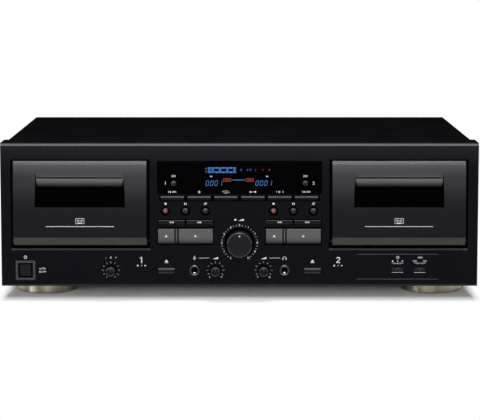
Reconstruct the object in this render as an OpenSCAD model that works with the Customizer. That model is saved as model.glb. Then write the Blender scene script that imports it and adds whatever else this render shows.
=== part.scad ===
// Full-width double cassette deck with two hinged cassette doors and a centre control block.
// Millimetres, +Z up. The origin lies on the standing surface under the middle of the deck,
// and the front panel faces -Y. Depths named d count back from the front panel's face.

/* [Case] */
// Width of the front panel
panel_w = 435; // [434:1:470]
// Height of the front panel
panel_h = 131.6; // [131:0.1:152]
// Depth of the front panel's rim
panel_depth = 32; // [31:0.5:36]
// Thickness of the front panel's face
face_t = 3; // [2.6:0.1:3.4]
// Thickness of the front panel's rim walls
rim_t = 2.5; // [2:0.1:3]
// Bevel along the panel's upper front edge
top_bevel = 2.5; // [1:0.1:3]
// Bevel along the panel's lower front edge
bottom_bevel = 2; // [0.5:0.1:2.4]
// Bevel along the panel's side front edges
side_bevel = 0.8; // [0.4:0.1:1.5]
// Depth from the panel's face to the rear of the case
case_depth = 268; // [260:1:320]
// How far the cover's sides stand in from the panel's sides
cover_inset = 2.5; // [2:0.1:3]
// How far the cover's top lies under the panel's top
cover_step = 0.3; // [0.1:0.1:1]
// Bend radius at the cover's upper corners
cover_bend = 2.2; // [1.4:0.1:4]
// Thickness of the cover and chassis sheet
sheet_t = 1; // [0.8:0.1:1.2]
// How far the panel's lower edge hangs under the chassis
panel_drop = 1; // [0.5:0.1:1.5]
// Depth of the cover's turned-down rear lip
rear_lip_h = 12; // [9:0.5:20]
// Height of the chassis side flanges
flange_h = 14; // [13:0.5:24]

/* [Feet] */
// Diameter of a foot
foot_d = 57; // [40:0.5:60]
// Height of a foot
foot_h = 14.4; // [11:0.1:24]
// Distance of the feet's middle in from the panel's side
foot_in = 36; // [33:0.5:70]
// Distance of the front feet behind the panel's face
foot_front = 62.5; // [62:0.5:90]
// Distance of the rear feet in front of the rear wall
foot_rear = 34; // [33:0.5:60]
// Rounding of a foot's lower edge
foot_edge = 1.2; // [0.6:0.1:3]

/* [Cassette doors] */
// Width of the panel between the two door openings
center_w = 163.6; // [162:0.2:170]
// Width of the panel outside each door opening
side_w = 9.3; // [8.8:0.1:12]
// Height of a door
door_h = 76.6; // [75.6:0.2:77.8]
// Height of a door's lower edge above the panel's lower edge
door_rise = 38.7; // [38.2:0.1:39.2]
// How far a door stands proud of the panel
door_proud = 6; // [5:0.1:7]
// Height of the sloping strip along a door's lower edge
door_strip_h = 7.1; // [4:0.1:9]
// Setback of the door's lower edge
door_strip_d = 3; // [1:0.1:4]
// Radius of the door's gently curved face
door_curve = 420; // [380:10:900]
// Height of the rolled edge along a door's top
door_roll = 6; // [3:0.2:8]
// Gap beside a door
door_side_gap = 2.7; // [1.5:0.1:2.8]
// Gap over a door
door_top_gap = 1.4; // [0.6:0.1:1.4]
// Gap under a door
door_bottom_gap = 3.9; // [3.6:0.1:4.2]
// Width of the window recess in a door
window_w = 82.2; // [70:0.2:90]
// Height of the window recess in a door
window_h = 31.3; // [24:0.1:33]
// Height of the window recess above the door's lower edge
window_rise = 34.9; // [32:0.1:36]
// Height of the sloping bevel at the recess's upper edge
window_bevel = 3.6; // [2:0.1:5]
// Width of the recess's side bevels
window_side = 1.4; // [0.6:0.1:2]
// Gap between the lens and the window opening
lens_gap = 0.6; // [0.3:0.1:0.9]
// Height of the rolled upper part of the lens
lens_roll = 9; // [6:0.2:12]
// Radius of the door's hinge pins
hinge_r = 1.5; // [1.2:0.1:1.7]

/* [Cassette bay] */
// Width of the cassette
cassette_w = 100.4; // [99.4:0.1:101.4]
// Thickness of the cassette at its head end
cassette_t = 12.1; // [11.6:0.1:12.5]
// Height of the cassette's shelf above the panel's lower edge
shelf_rise = 44.6; // [43.6:0.1:45.6]
// Height of the hub axes above the cassette's shelf
hub_rise = 34.5; // [32:0.1:36]
// Spacing of the two hubs
hub_spacing = 42.5; // [40:0.1:45]
// Radius of a hub's spindle
spindle_r = 3.9; // [3.4:0.1:4.4]
// Radius of a hub's base disc
hub_base_r = 10; // [8:0.1:12]
// Height of the capstan above the cassette's shelf
capstan_rise = 6.5; // [6.2:0.1:7]
// Sideways distance of the capstan from the door's middle
capstan_x = 25; // [23:0.5:27]
// Radius of the capstan
capstan_r = 1.25; // [1:0.05:1.5]
// Radius of the capstan's flywheel
flywheel_r = 22; // [16:0.5:23]
// Sideways distance of the motor from the door's middle
motor_x = 30; // [28:0.5:34]
// Radius of the motor
motor_r = 16; // [12:0.5:17]
// Length of the motor
motor_len = 26; // [18:0.5:40]
// Radius of the motor's pulley
pulley_r = 4.5; // [3.5:0.1:6]
// Radius of the pinch roller
roller_r = 5; // [4:0.1:5.2]
// Lift of the head carriage
carriage_lift = 6; // [5:0.1:6.2]

/* [Display] */
// Width of the display window
display_w = 150; // [140:0.5:151]
// Height of the display window
display_h = 30.2; // [27:0.2:31]
// Height of the display window above the panel's lower edge
display_rise = 84.7; // [84.4:0.1:85.2]
// Thickness of the display window
display_t = 2; // [1.4:0.1:2.2]
// Width of the glass display tube
tube_w = 104; // [70:1:110]
// Height of the glass display tube
tube_h = 22; // [16:0.5:24]
// Sideways distance of the counter buttons from the middle
counter_x = 60; // [57:0.5:64]
// Height of the counter buttons above the panel's lower edge
counter_rise = 94.8; // [91:0.1:108]
// Diameter of a counter button
counter_d = 4.9; // [4.2:0.1:6]

/* [Keys] */
// Width of a function key
function_w = 21.1; // [16:0.1:22.4]
// Height of a function key
function_h = 4.1; // [3.6:0.1:4.6]
// Spacing of the function keys
function_pitch = 24.4; // [23.6:0.1:24.8]
// Height of the function keys above the panel's lower edge
function_rise = 81.4; // [81:0.1:81.8]
// Sideways distance of each deck's keys from the middle
keys_x = 49.2; // [48.6:0.1:49.8]
// Width of each deck's key group
keys_w = 50.1; // [46:0.1:51]
// Diameter of the record, pause and mute buttons
round_d = 5.2; // [4.6:0.1:6.4]
// Spacing of the record, pause and mute buttons
round_pitch = 18.2; // [15:0.1:19]
// Height of the record, pause and mute buttons above the panel's lower edge
round_rise = 69.5; // [68.8:0.1:71.2]
// Height of a rewind or forward key
search_h = 3.7; // [3.2:0.1:4.6]
// Gap between the rewind and forward keys
search_gap = 1.5; // [1:0.1:2.4]
// Height of the rewind and forward keys above the panel's lower edge
search_rise = 59.3; // [58.7:0.1:60.1]
// Width of a stop key
stop_w = 15; // [12:0.1:18]
// Height of the stop and play keys
play_h = 13.3; // [11:0.1:14.2]
// Gap between the stop and play keys
play_gap = 1.2; // [0.6:0.1:1.6]
// Height of the stop and play keys above the panel's lower edge
play_rise = 46.4; // [45.9:0.1:46.9]
// Width of an eject key
eject_w = 15.1; // [12:0.1:15.6]
// Height of an eject key
eject_h = 5; // [4:0.1:6.4]
// Sideways distance of the eject keys from the middle
eject_x = 66.7; // [65.4:0.1:66.8]
// Width and height of the power button
power_w = 10.4; // [8:0.1:12]
// Distance of the power button's middle in from the panel's side
power_in = 22; // [14:0.5:32]
// How far the keys stand proud of the panel
key_proud = 1.6; // [1.2:0.1:2.4]
// Travel of a key
key_travel = 1.5; // [1:0.1:2]
// Gap around a key in its hole
key_gap = 0.3; // [0.2:0.05:0.4]

/* [Knobs and sockets] */
// Height of the lower row above the panel's lower edge
row_rise = 14.9; // [14.2:0.1:15.6]
// Diameter of the record level knob
level_d = 23; // [18:0.2:26]
// How far the record level knob stands proud of the panel
level_proud = 14; // [12:0.2:18]
// Height of the record level knob above the panel's lower edge
level_rise = 40.1; // [38.6:0.1:41.6]
// Diameter of the recess around the record level knob
level_recess_d = 27.6; // [27:0.1:31]
// Diameter of the small knobs
small_d = 8.6; // [7:0.1:9.4]
// How far the small knobs stand proud of the panel
small_proud = 10.5; // [8:0.1:11.5]
// Sideways distance of the microphone and headphone level knobs from the middle
small_x = 22; // [21:0.1:23]
// Sideways distance of the pitch knob from the middle
pitch_x = 117.5; // [116:0.5:122]
// Sideways distance of the microphone and headphone sockets from the middle
jack_x = 41.1; // [40:0.1:42]
// Radius of the bore of a plug socket
jack_r = 3.2; // [3.1:0.05:3.4]
// Radius of a plug socket's ring
jack_ring_r = 4.75; // [4.4:0.05:5.2]
// Sideways distance of the timer switch from the middle
timer_x = 144.5; // [142:0.5:147]
// Sideways distance of the noise switch from the middle
noise_x = 164.9; // [162:0.5:167]
// Length of a slide switch's slot
slot_w = 10.9; // [10:0.1:12]
// Height of a slide switch's slot
slot_h = 3.8; // [3.4:0.1:4.6]
// Travel of a slide switch to each side
slide_travel = 2.5; // [1.5:0.1:2.8]
// Outer radius of a line socket's barrel
line_r = 4.15; // [4:0.05:4.3]
// How far the line sockets stand out of the rear
line_len = 8; // [6:0.2:12]
// Distance of the line sockets in from the panel's side
line_in = 67.5; // [47:0.5:97]
// Radius of the cord gland's bore
gland_r = 3.6; // [2.6:0.1:4.2]
// Distance of the cord gland in from the panel's side
gland_in = 32.5; // [27:0.5:67]

/* [Boards] */
// Thickness of the circuit boards
board_t = 1.6; // [1:0.1:2]
// Width of the main circuit board
main_w = 300; // [260:1:330]
// Depth of the main circuit board
main_d = 120; // [100:1:130]
// Height of the main board's posts
post_h = 8; // [5:0.5:12]
// Width of the transformer
transformer_w = 58; // [40:1:64]
// Height of the transformer
transformer_h = 46; // [30:1:60]

/* [Hidden] */
$fn = 64;

// Clearance of a shaft that turns in its bush
run_gap = 0.06;
// Clearance of a part that slides in its guide
slide_gap = 0.25;
// Clearance of a part fitted into a hole
fit_gap = 0.1;
// Small overlap of parts that are one piece
eps = 0.01;

// Main planes
face_y = -(level_proud + case_depth + line_len) / 2 + level_proud;
base_z = foot_h - panel_drop;
top_z = base_z + panel_h;
cover_z = top_z - cover_step;
cover_hw = panel_w / 2 - cover_inset;
foot_x = panel_w / 2 - foot_in;
power_x = panel_w / 2 - power_in;
line_x = panel_w / 2 - line_in;
gland_x = panel_w / 2 - gland_in;
chassis_z = foot_h;
floor_z = chassis_z + sheet_t;
tongue_d = 8;
tongue_t = 2;
rear_d = case_depth - sheet_t;

// Cassette doors, given for the middle of one door
door_z = base_z + door_rise;
door_top = door_z + door_h;
open_hw = ((panel_w - center_w) / 2 - side_w) / 2;
door_x = center_w / 2 + open_hw;
door_w = 2 * (open_hw - door_side_gap);
open_z = [door_z - door_bottom_gap, door_top + door_top_gap];
hinge_d = 3.6;
hinge_z = door_z + 2.4;
hinge_in = 5;
window_z = door_z + window_rise;
flange_d = [-2.5, -1];
lens_hw = window_w / 2 - window_side - lens_gap;
lens_z = [window_z + lens_gap, window_z + window_h - window_bevel - lens_gap];
lens_front = -door_proud + 0.9;
door_roll_r = 14;
door_edge = 0.3;
key_dome = 0.9;

// Cassette bay, depths behind the panel's face
holder_wall = 1.4;
holder_d = [0, holder_wall];
bay_d = [holder_d[1] + 0.2, holder_d[1] + 0.2 + cassette_t + 0.3];
holder_back = [bay_d[1], bay_d[1] + holder_wall];
holder_in = cassette_w / 2 + 0.4;
holder_out = holder_in + holder_wall;
shelf_z = base_z + shelf_rise;
holder_top = shelf_z + 63.8 + 1.2;
hub_z = shelf_z + hub_rise;
capstan_z = shelf_z + capstan_rise;
plate_d = [holder_back[1] + 6, holder_back[1] + 7.6];
plate_hw = open_hw + 4.8;
plate_z = [open_z[0] - 8.4, open_z[1] + 8];
frame_post_x = open_hw - 5.2;
arm_share = 0.72;
arm_tip = holder_out + arm_share * (open_hw - holder_out);
frame_post_z = [open_z[0] - 4.4, open_z[1] + 4.4];
hub_base_d = [holder_back[1] + 2.2, plate_d[0] - 0.4];
hub_tip_d = bay_d[0] + 4.6;
bush_r = 3.6;
bush_d = [plate_d[0], plate_d[1] + 4];
wheel_d = [bush_d[1] + 1.4, bush_d[1] + 6.4];
bracket_d = [wheel_d[1] + 6, wheel_d[1] + 7.6];
belt_t = 0.8;
belt_gap = 0.15;
stay_r = 2.4;
stay_gap = 1;
stay_turn = 27;
stay_reach = flywheel_r + belt_gap + belt_t + stay_gap + stay_r;
stay_x = capstan_x + stay_reach * cos(stay_turn);
stay_z = capstan_z - stay_reach * sin(stay_turn);
bracket_hw = stay_x + 3.5;
bracket_z = [stay_z - 4, capstan_z + 30];
carriage_d = [plate_d[0] - 1.8, plate_d[0] - 0.3];
carriage_top = capstan_z - capstan_r - roller_r - 0.15 - carriage_lift;

// Controls, depths behind the panel's face
cap_back = face_t + 2.4;
guide_d = 10.4;
stem_end = 13.6;
board_d = [18.4, 18.4 + board_t];
guide_floor = stem_end + key_travel + 0.8;
stem_w = 3;
center_hw = 75;
center_z = [base_z + 3.2, top_z - 8.5];
row_z = base_z + row_rise;
level_z = base_z + level_rise;
play_z = base_z + play_rise;
search_z = base_z + search_rise;
round_z = base_z + round_rise;
function_z = base_z + function_rise;
counter_z = base_z + counter_rise;
display_z = base_z + display_rise;
search_w = (keys_w - search_gap) / 2;
play_w = keys_w - stop_w - play_gap;
strip_w = 1.3;
groove_w = 1.4;
groove_d = 2.6;
plate_frame = [timer_x - 37.3, noise_x + 16.7];
left_board = [-power_x - 11, -pitch_x + 11];
right_board = [timer_x - 20.5, noise_x + 19.1];
board_post_r = 2.6;
board_post_in = 4;
plate_frame_z = [row_z - 8, row_z + 14.5];
plate_frame_d = 0.5;
level_shaft_r = 3;
small_shaft_r = 2;
bush_front = face_t + 0.8;
shaft_end = 14;
pot_d = 8.6;
main_z = floor_z + post_h;
main_y = face_y + rear_d - 6 - main_d;
main_post = [main_w / 2 - 6, main_d / 2 - 6];
line_z = [base_z + 34, base_z + 52];
line_pitch = 18;
gland_z = base_z + 30;
screw_r = 1.5;
screw_head_r = 3.3;
screw_head = 1.9;
side_screw_d = [panel_depth + 34, case_depth - 40];
side_screw_z = floor_z + 7;
lip_screw_z = cover_z - 6.5;
foot_screw_r = 2;
foot_sink_r = 6;
foot_sink_h = foot_h * 0.5;

// Limits of a span of width w about a middle
function around(c, w) = [c - w / 2, c + w / 2];

// Points of an arc about c
function arc(c, r, a0, a1, n) = [for (i = [0:n]) let (a = a0 + (a1 - a0) * i / n) c + r * [cos(a), sin(a)]];

// Block between two limits on each axis
module slab(x, d, z) {
    translate([x[0], face_y + d[0], z[0]])
        cube([x[1] - x[0], d[1] - d[0], z[1] - z[0]]);
}

// Round rod that runs from front to back
module rod(x, z, d, r) {
    translate([x, face_y + d[0], z])
        rotate([-90, 0, 0])
            cylinder(h = d[1] - d[0], r = r);
}

// Round rod that runs sideways
module crossrod(x, d, z, r) {
    translate([x[0], face_y + d, z])
        rotate([0, 90, 0])
            cylinder(h = x[1] - x[0], r = r);
}

// Upright round rod
module upright(x, y, z, r) {
    translate([x, y, z[0]])
        cylinder(h = z[1] - z[0], r = r);
}

// Turned shape about a front-to-back axis, from a profile of radius and depth
module turned(x, z, profile) {
    translate([x, face_y, z])
        rotate([-90, 0, 0])
            rotate_extrude()
                polygon(profile);
}

// Sideways extrusion of a profile of depth and height
module along_x(x, profile) {
    translate([x[0], face_y, 0])
        rotate([90, 0, 90])
            linear_extrude(x[1] - x[0])
                polygon(profile);
}

// Upward extrusion of a profile of width and depth
module along_z(z, profile) {
    translate([0, face_y, z[0]])
        linear_extrude(z[1] - z[0])
            polygon(profile);
}

// Backward extrusion of a profile of width and height
module along_d(d, profile) {
    translate([0, face_y + d[1], 0])
        rotate([90, 0, 0])
            linear_extrude(d[1] - d[0])
                polygon(profile);
}

// Bar whose front edges are bevelled, b = [upper height, upper depth, lower height, lower depth, ends]
module bar(x, z, d, b) {
    intersection() {
        along_x(x, [[d[0], z[0] + b[2]], [d[0], z[1] - b[0]], [d[0] + b[1], z[1]], [d[1], z[1]],
            [d[1], z[0]], [d[0] + b[3], z[0]]]);
        along_z([z[0] - 1, z[1] + 1], [[x[0] + b[4], d[0]], [x[1] - b[4], d[0]], [x[1], d[0] + b[4]],
            [x[1], d[1]], [x[0], d[1]], [x[0], d[0] + b[4]]]);
    }
}

// Stem behind a key, which slides in its guide
module stem(x, z, h) {
    slab(around(x, stem_w), [cap_back - eps, stem_end], around(z, h));
}

// Housing on a board that guides a key's stem
module guide(x, z, h) {
    difference() {
        slab(around(x, stem_w + 3.4), [guide_d, board_d[0] + eps], around(z, h + 2.6));
        slab(around(x, stem_w + 2 * slide_gap), [guide_d - 1, guide_floor], around(z, h + 2 * slide_gap));
    }
}

// Key with its stem
module key(x, z, w, h, b) {
    bar(around(x, w), around(z, h), [-key_proud, cap_back], b);
    stem(x, z, min(h, stem_w));
}

// Hole for a key
module key_hole(x, z, w, h) {
    slab(around(x, w + 2 * key_gap), [-5, face_t + 5], around(z, h + 2 * key_gap));
}

// Round push button with its stem
module round_key(x, z, d0, r) {
    ball = (r * r + key_dome * key_dome) / (2 * key_dome);
    dome = [for (i = [0:6]) let (q = r * i / 6) [q, d0 + ball - sqrt(ball * ball - q * q)]];
    turned(x, z, concat(dome, [[r, cap_back], [0, cap_back]]));
    rod(x, z, [cap_back - eps, stem_end], stem_w / 2);
}

// Housing on a board that guides a round button's stem
module round_guide(x, z) {
    difference() {
        rod(x, z, [guide_d, board_d[0] + eps], stem_w / 2 + 1.6);
        rod(x, z, [guide_d - 1, guide_floor], stem_w / 2 + slide_gap);
    }
}

// Rotary control on a board, with the bush that carries a knob's shaft
module rotary(x, z, r, w) {
    difference() {
        union() {
            slab(around(x, w), [pot_d, board_d[0] + eps], around(z, w));
            rod(x, z, [bush_front, pot_d + eps], r + 1.4);
        }
        rod(x, z, [bush_front - 1, shaft_end + 1], r + run_gap);
    }
}

// Positions of the function keys and of each deck's parts
function function_x(i) = (i - 2.5) * function_pitch;
function keys_left(n) = (n == 1 ? -keys_x : keys_x) - keys_w / 2;
function stop_x(n) = keys_left(n) + stop_w / 2;
function play_x(n) = keys_left(n) + stop_w + play_gap + play_w / 2;
function rewind_x(n) = keys_left(n) + search_w / 2;
function forward_x(n) = keys_left(n) + keys_w - search_w / 2;
function round_x(n, i) = (n == 1 ? -keys_x : keys_x) + (i - 1) * round_pitch;
function bay_x(n) = n == 1 ? -door_x : door_x;

module front_panel() {
    color([0.10, 0.11, 0.13])
    union() {
        difference() {
            union() {
                difference() {
                    intersection() {
                        along_x([-panel_w / 2, panel_w / 2], [[0, base_z + bottom_bevel],
                            [0, top_z - top_bevel], [top_bevel, top_z], [panel_depth, top_z],
                            [panel_depth, base_z], [bottom_bevel, base_z]]);
                        along_z([base_z - 1, top_z + 1], [[-panel_w / 2 + side_bevel, 0],
                            [panel_w / 2 - side_bevel, 0], [panel_w / 2, side_bevel],
                            [panel_w / 2, panel_depth], [-panel_w / 2, panel_depth],
                            [-panel_w / 2, side_bevel]]);
                    }
                    slab([-panel_w / 2 + rim_t, panel_w / 2 - rim_t], [face_t, panel_depth + 1],
                        [base_z + rim_t, top_z - rim_t]);
                }
                tongue();
                power_bezel();
                for (n = [1, 2])
                    bay_mounts(bay_x(n));
                board_posts();
            }
            for (n = [1, 2])
                bay_cut(bay_x(n));
            display_cut();
            key_cuts();
            knob_cuts();
            switch_cuts();
        }
    }
}

// Outline of half width hw between heights z, cut off at the cover's bent corners
function under_cover(hw, z) = [[-hw, z[0]], [hw, z[0]], [hw, z[1] - cover_bend], [hw - cover_bend, z[1]],
    [-hw + cover_bend, z[1]], [-hw, z[1] - cover_bend]];

// Tongue that the cover and the chassis lie against
module tongue() {
    hw = cover_hw - sheet_t - fit_gap;
    z = [floor_z + fit_gap, cover_z - sheet_t - fit_gap];
    d = [panel_depth - 4, panel_depth + tongue_d];
    difference() {
        along_d(d, under_cover(hw, z));
        slab([-hw + tongue_t, hw - tongue_t], [d[0] - 1, d[1] + 1], [z[0] + tongue_t, z[1] - tongue_t]);
        slab([-hw - 1, -hw + tongue_t + 1], [panel_depth + 3, d[1] + 1], [z[0] - 1, z[0] + flange_h + 2]);
        slab([hw - tongue_t - 1, hw + 1], [panel_depth + 3, d[1] + 1], [z[0] - 1, z[0] + flange_h + 2]);
    }
}

module power_bezel() {
    slab(around(-power_x, power_w + 7.4), [-0.7, 1], around(row_z, power_w + 7.4));
}

// Hinge lugs and transport posts behind the panel, about one bay
module bay_mounts(x) {
    for (s = [-1, 1]) {
        slab([x + s * (open_hw + 3) - 3, x + s * (open_hw + 3) + 3], [face_t - eps, hinge_d + 4.5],
            around(hinge_z, 10));
        for (z = frame_post_z)
            rod(x + s * frame_post_x, z, [face_t - eps, plate_d[0]], 3.2);
    }
}

// Door opening with its bevelled lower edge, and the hinge bores
module bay_cut(x) {
    slab([x - open_hw, x + open_hw], [-5, face_t + 8], open_z);
    along_x([x - open_hw, x + open_hw], [[-1, open_z[0] - 2.2], [-1, open_z[0] + 1],
        [1.8, open_z[0] + 1], [1.8, open_z[0] - eps]]);
    for (s = [-1, 1])
        along_z([open_z[0], open_z[0] + 5], [[x + s * (open_hw - 1), -1], [x + s * (open_hw + 1.8), -1],
            [x + s * (open_hw + 0.8), 0], [x + s * open_hw, 0.8], [x + s * (open_hw - 1), 0.8]]);
    crossrod([x - open_hw - hinge_in, x + open_hw + hinge_in], hinge_d, hinge_z, hinge_r + run_gap);
}

// Posts for the control boards
module board_posts() {
    d = [face_t - eps, board_d[0]];
    for (s = [-1, 1]) {
        rod(s * (center_hw - 7), center_z[1] - 3.4, d, board_post_r);
        rod(s * (jack_x + 12.9), center_z[0] + 3, d, board_post_r);
    }
    rod(-power_x + 30.5, row_z, d, board_post_r);
    rod(-pitch_x - 19.5, row_z, d, board_post_r);
    rod(right_board[0] + board_post_in, row_z, d, board_post_r);
    rod(right_board[1] - board_post_in, row_z, d, board_post_r);
}

module display_cut() {
    z = [display_z, display_z + display_h];
    bar(around(0, display_w), z, [-5, face_t - 0.6], [0, 0, 0, 0, 0]);
    along_x(around(0, display_w), [[-1, z[1]], [-1, z[1] + 1.6], [0.6, z[1]]]);
    slab(around(0, display_w - 3), [-5, face_t + 5], [z[0] + 1.4, z[1] - 1.4]);
}

module key_cuts() {
    for (i = [0:5])
        key_hole(function_x(i), function_z, function_w, function_h);
    slab(around(0, 5 * function_pitch + function_w + 3), [-1, 0.7],
        [function_z - function_h / 2 - 0.9, function_z + function_h / 2 + key_gap]);
    for (n = [1, 2]) {
        for (i = [0:2]) {
            rod(round_x(n, i), round_z, [-1, 1.6], round_d / 2 + 1);
            rod(round_x(n, i), round_z, [-1, face_t + 1], round_d / 2 + key_gap);
        }
        slab(around(keys_left(n) + keys_w / 2, keys_w + 1.4), [-1, 0.6], around(search_z, search_h + 1.6));
        key_hole(rewind_x(n), search_z, search_w, search_h);
        key_hole(forward_x(n), search_z, search_w, search_h);
        slab(around(keys_left(n) + keys_w / 2, keys_w + 2), [-1, 1.2], around(play_z, play_h + 3.2));
        key_hole(keys_left(n) + keys_w / 2, play_z, keys_w, play_h);
    }
    for (s = [-1, 1]) {
        key_hole(s * eject_x, row_z - 0.4, eject_w, eject_h);
        slab(around(s * eject_x, eject_w + 1.4), [-1, 0.5], around(row_z - 0.4, eject_h + 1.6));
    }
    slab(around(-power_x, power_w + 3.2), [-2, 1.2], around(row_z, power_w + 3.2));
    key_hole(-power_x, row_z, power_w, power_w);
}

module knob_cuts() {
    rod(0, level_z, [-1, 1.5], level_recess_d / 2);
    rod(0, level_z, [-1, face_t + 1], level_shaft_r + 0.6);
    for (x = [-pitch_x, -small_x, small_x]) {
        rod(x, row_z, [-1, 1], small_d / 2 + 0.7);
        rod(x, row_z, [-1, face_t + 1], small_shaft_r + 0.6);
    }
    for (x = [-jack_x, jack_x])
        rod(x, row_z, [-1, face_t + 1], jack_ring_r + fit_gap);
}

module switch_cuts() {
    slab(plate_frame, [-1, plate_frame_d], plate_frame_z);
    for (x = [timer_x, noise_x])
        slab(around(x, slot_w), [-1, face_t + 1], around(row_z + 0.4, slot_h));
}

module top_cover() {
    hw = cover_hw;
    r = cover_bend;
    ri = cover_bend - sheet_t;
    z0 = floor_z + 0.4;
    outer = concat([[hw, z0]], arc([hw - r, cover_z - r], r, 0, 90, 5),
        arc([-hw + r, cover_z - r], r, 90, 180, 5), [[-hw, z0]]);
    inner = concat([[-hw + sheet_t, z0]], arc([-hw + r, cover_z - r], ri, 180, 90, 5),
        arc([hw - r, cover_z - r], ri, 90, 0, 5), [[hw - sheet_t, z0]]);
    color([0.06, 0.06, 0.07])
    difference() {
        union() {
            along_d([panel_depth, case_depth], concat(outer, inner));
            slab([-hw + r, hw - r], [rear_d, case_depth], [cover_z - rear_lip_h, cover_z - eps]);
        }
        for (s = [-1, 1])
            for (d = side_screw_d)
                crossrod([s * hw - 3, s * hw + 3], d, side_screw_z, screw_r + fit_gap);
        for (x = lip_screws())
            rod(x, lip_screw_z, [rear_d - 1, case_depth + 1], screw_r + fit_gap);
    }
}

function lip_screws() = [-cover_hw + 30, 0, cover_hw - 30];

module chassis() {
    hw = cover_hw - sheet_t - fit_gap;
    wall = [rear_d - sheet_t, rear_d];
    flange_z = [chassis_z, floor_z + flange_h];
    color([0.55, 0.56, 0.58])
    difference() {
        union() {
            slab([-hw, hw], [panel_depth, rear_d], [chassis_z, floor_z]);
            along_d(wall, under_cover(hw, [chassis_z, cover_z - sheet_t - fit_gap]));
            for (s = [-1, 1])
                slab([s > 0 ? hw - sheet_t : -hw, s > 0 ? hw : -hw + sheet_t],
                    [panel_depth + 4, rear_d - eps], flange_z);
            for (sx = [-1, 1])
                for (sy = [-1, 1])
                    upright(sx * main_post[0], main_y + main_d / 2 + sy * main_post[1],
                        [floor_z - eps, main_z], 3.4);
        }
        for (s = [-1, 1])
            for (d = side_screw_d)
                crossrod([s * hw - 3, s * hw + 3], d, side_screw_z, screw_r + fit_gap);
        for (x = lip_screws())
            rod(x, lip_screw_z, [wall[0] - 1, wall[1] + 1], screw_r + fit_gap);
        for (p = foot_places())
            upright(p[0], p[1], [chassis_z - 1, floor_z + 1], foot_screw_r + fit_gap);
        slab(around(line_x, 38), [wall[0] - 1, wall[1] + 1],
            [line_z[0] - 10, line_z[1] + 10]);
        rod(-gland_x, gland_z, [wall[0] - 1, wall[1] + 1], gland_r + 2.4 + fit_gap);
    }
}

function foot_places() = [for (s = [-1, 1]) for (d = [foot_front, case_depth - foot_rear])
    [s * foot_x, face_y + d]];

module foot() {
    r = foot_d / 2;
    e = foot_edge;
    hole = foot_screw_r + fit_gap;
    rotate_extrude()
        polygon(concat([[hole, foot_sink_h], [foot_sink_r, foot_sink_h], [foot_sink_r, 0]],
            arc([r - e, e], e, -90, 0, 5), [[r, foot_h - 0.6], [r - 0.6, foot_h], [hole, foot_h]]));
}

module feet() {
    color([0.62, 0.59, 0.53])
    for (p = foot_places())
        translate([p[0], p[1], 0])
            foot();
}

// Pan-head screw along +Z with its head below z = 0
module screw(r, head_r, head, len) {
    rotate_extrude()
        polygon([[0, -head], [head_r - 0.7, -head], [head_r, -head + 0.8], [head_r, 0], [r, 0], [r, len],
            [0, len]]);
}

module case_screws() {
    color([0.20, 0.20, 0.21]) {
        for (p = foot_places())
            translate([p[0], p[1], foot_sink_h])
                screw(foot_screw_r, 4.2, 2.4, foot_h - foot_sink_h + sheet_t + 2);
        for (s = [-1, 1])
            for (d = side_screw_d)
                translate([s * cover_hw, face_y + d, side_screw_z])
                    rotate([0, -s * 90, 0])
                        screw(screw_r, screw_head_r, screw_head, 6);
        for (x = lip_screws())
            translate([x, face_y + case_depth, lip_screw_z])
                rotate([90, 0, 0])
                    screw(screw_r, screw_head_r, screw_head, 7);
    }
}

module display_window() {
    z = [display_z + fit_gap, display_z + display_h - fit_gap];
    color([0.02, 0.02, 0.03])
    difference() {
        slab(around(0, display_w - 2 * fit_gap), [face_t - 0.6 - display_t, face_t - 0.6], z);
        for (s = [-1, 1])
            rod(s * counter_x, counter_z, [-3, face_t + 1], counter_d / 2 + key_gap);
    }
}

module control_board() {
    color([0.08, 0.30, 0.16]) {
        difference() {
            union() {
                slab([-center_hw, center_hw], board_d, center_z);
                for (i = [0:5])
                    guide(function_x(i), function_z, min(function_h, stem_w));
                for (n = [1, 2]) {
                    for (i = [0:2])
                        round_guide(round_x(n, i), round_z);
                    guide(rewind_x(n), search_z, min(search_h, stem_w));
                    guide(forward_x(n), search_z, min(search_h, stem_w));
                    guide(stop_x(n), play_z, stem_w);
                    guide(play_x(n), play_z, stem_w);
                }
                for (s = [-1, 1]) {
                    guide(s * eject_x, row_z - 0.4, min(eject_h, stem_w));
                    round_guide(s * counter_x, counter_z);
                    rotary(s * small_x, row_z, small_shaft_r, 10);
                }
                rotary(0, level_z, level_shaft_r, 17);
                slab(around(0, tube_w), [face_t + 4, board_d[0] + eps],
                    around(display_z + display_h / 2 + 1, tube_h));
            }
            for (s = [-1, 1])
                slab(around(s * jack_x, 14), [board_d[0] - 1, board_d[1] + 1], around(row_z, 14));
        }
        slab(left_board, board_d, around(row_z, 20));
        guide(-power_x, row_z, stem_w);
        rotary(-pitch_x, row_z, small_shaft_r, 10);
        slab(right_board, board_d, around(row_z, 20));
        for (x = [timer_x, noise_x])
            slide_guide(x, row_z + 0.4);
    }
}

// Housing on a board that guides a slide switch
module slide_guide(x, z) {
    difference() {
        slab(around(x, 2 * slide_travel + 9), [guide_d, board_d[0] + eps], around(z, stem_w + 3));
        slab(around(x, 2 * slide_travel + stem_w + 2 * slide_gap), [guide_d - 1, stem_end + 1],
            around(z, stem_w + 2 * slide_gap));
    }
}

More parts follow.
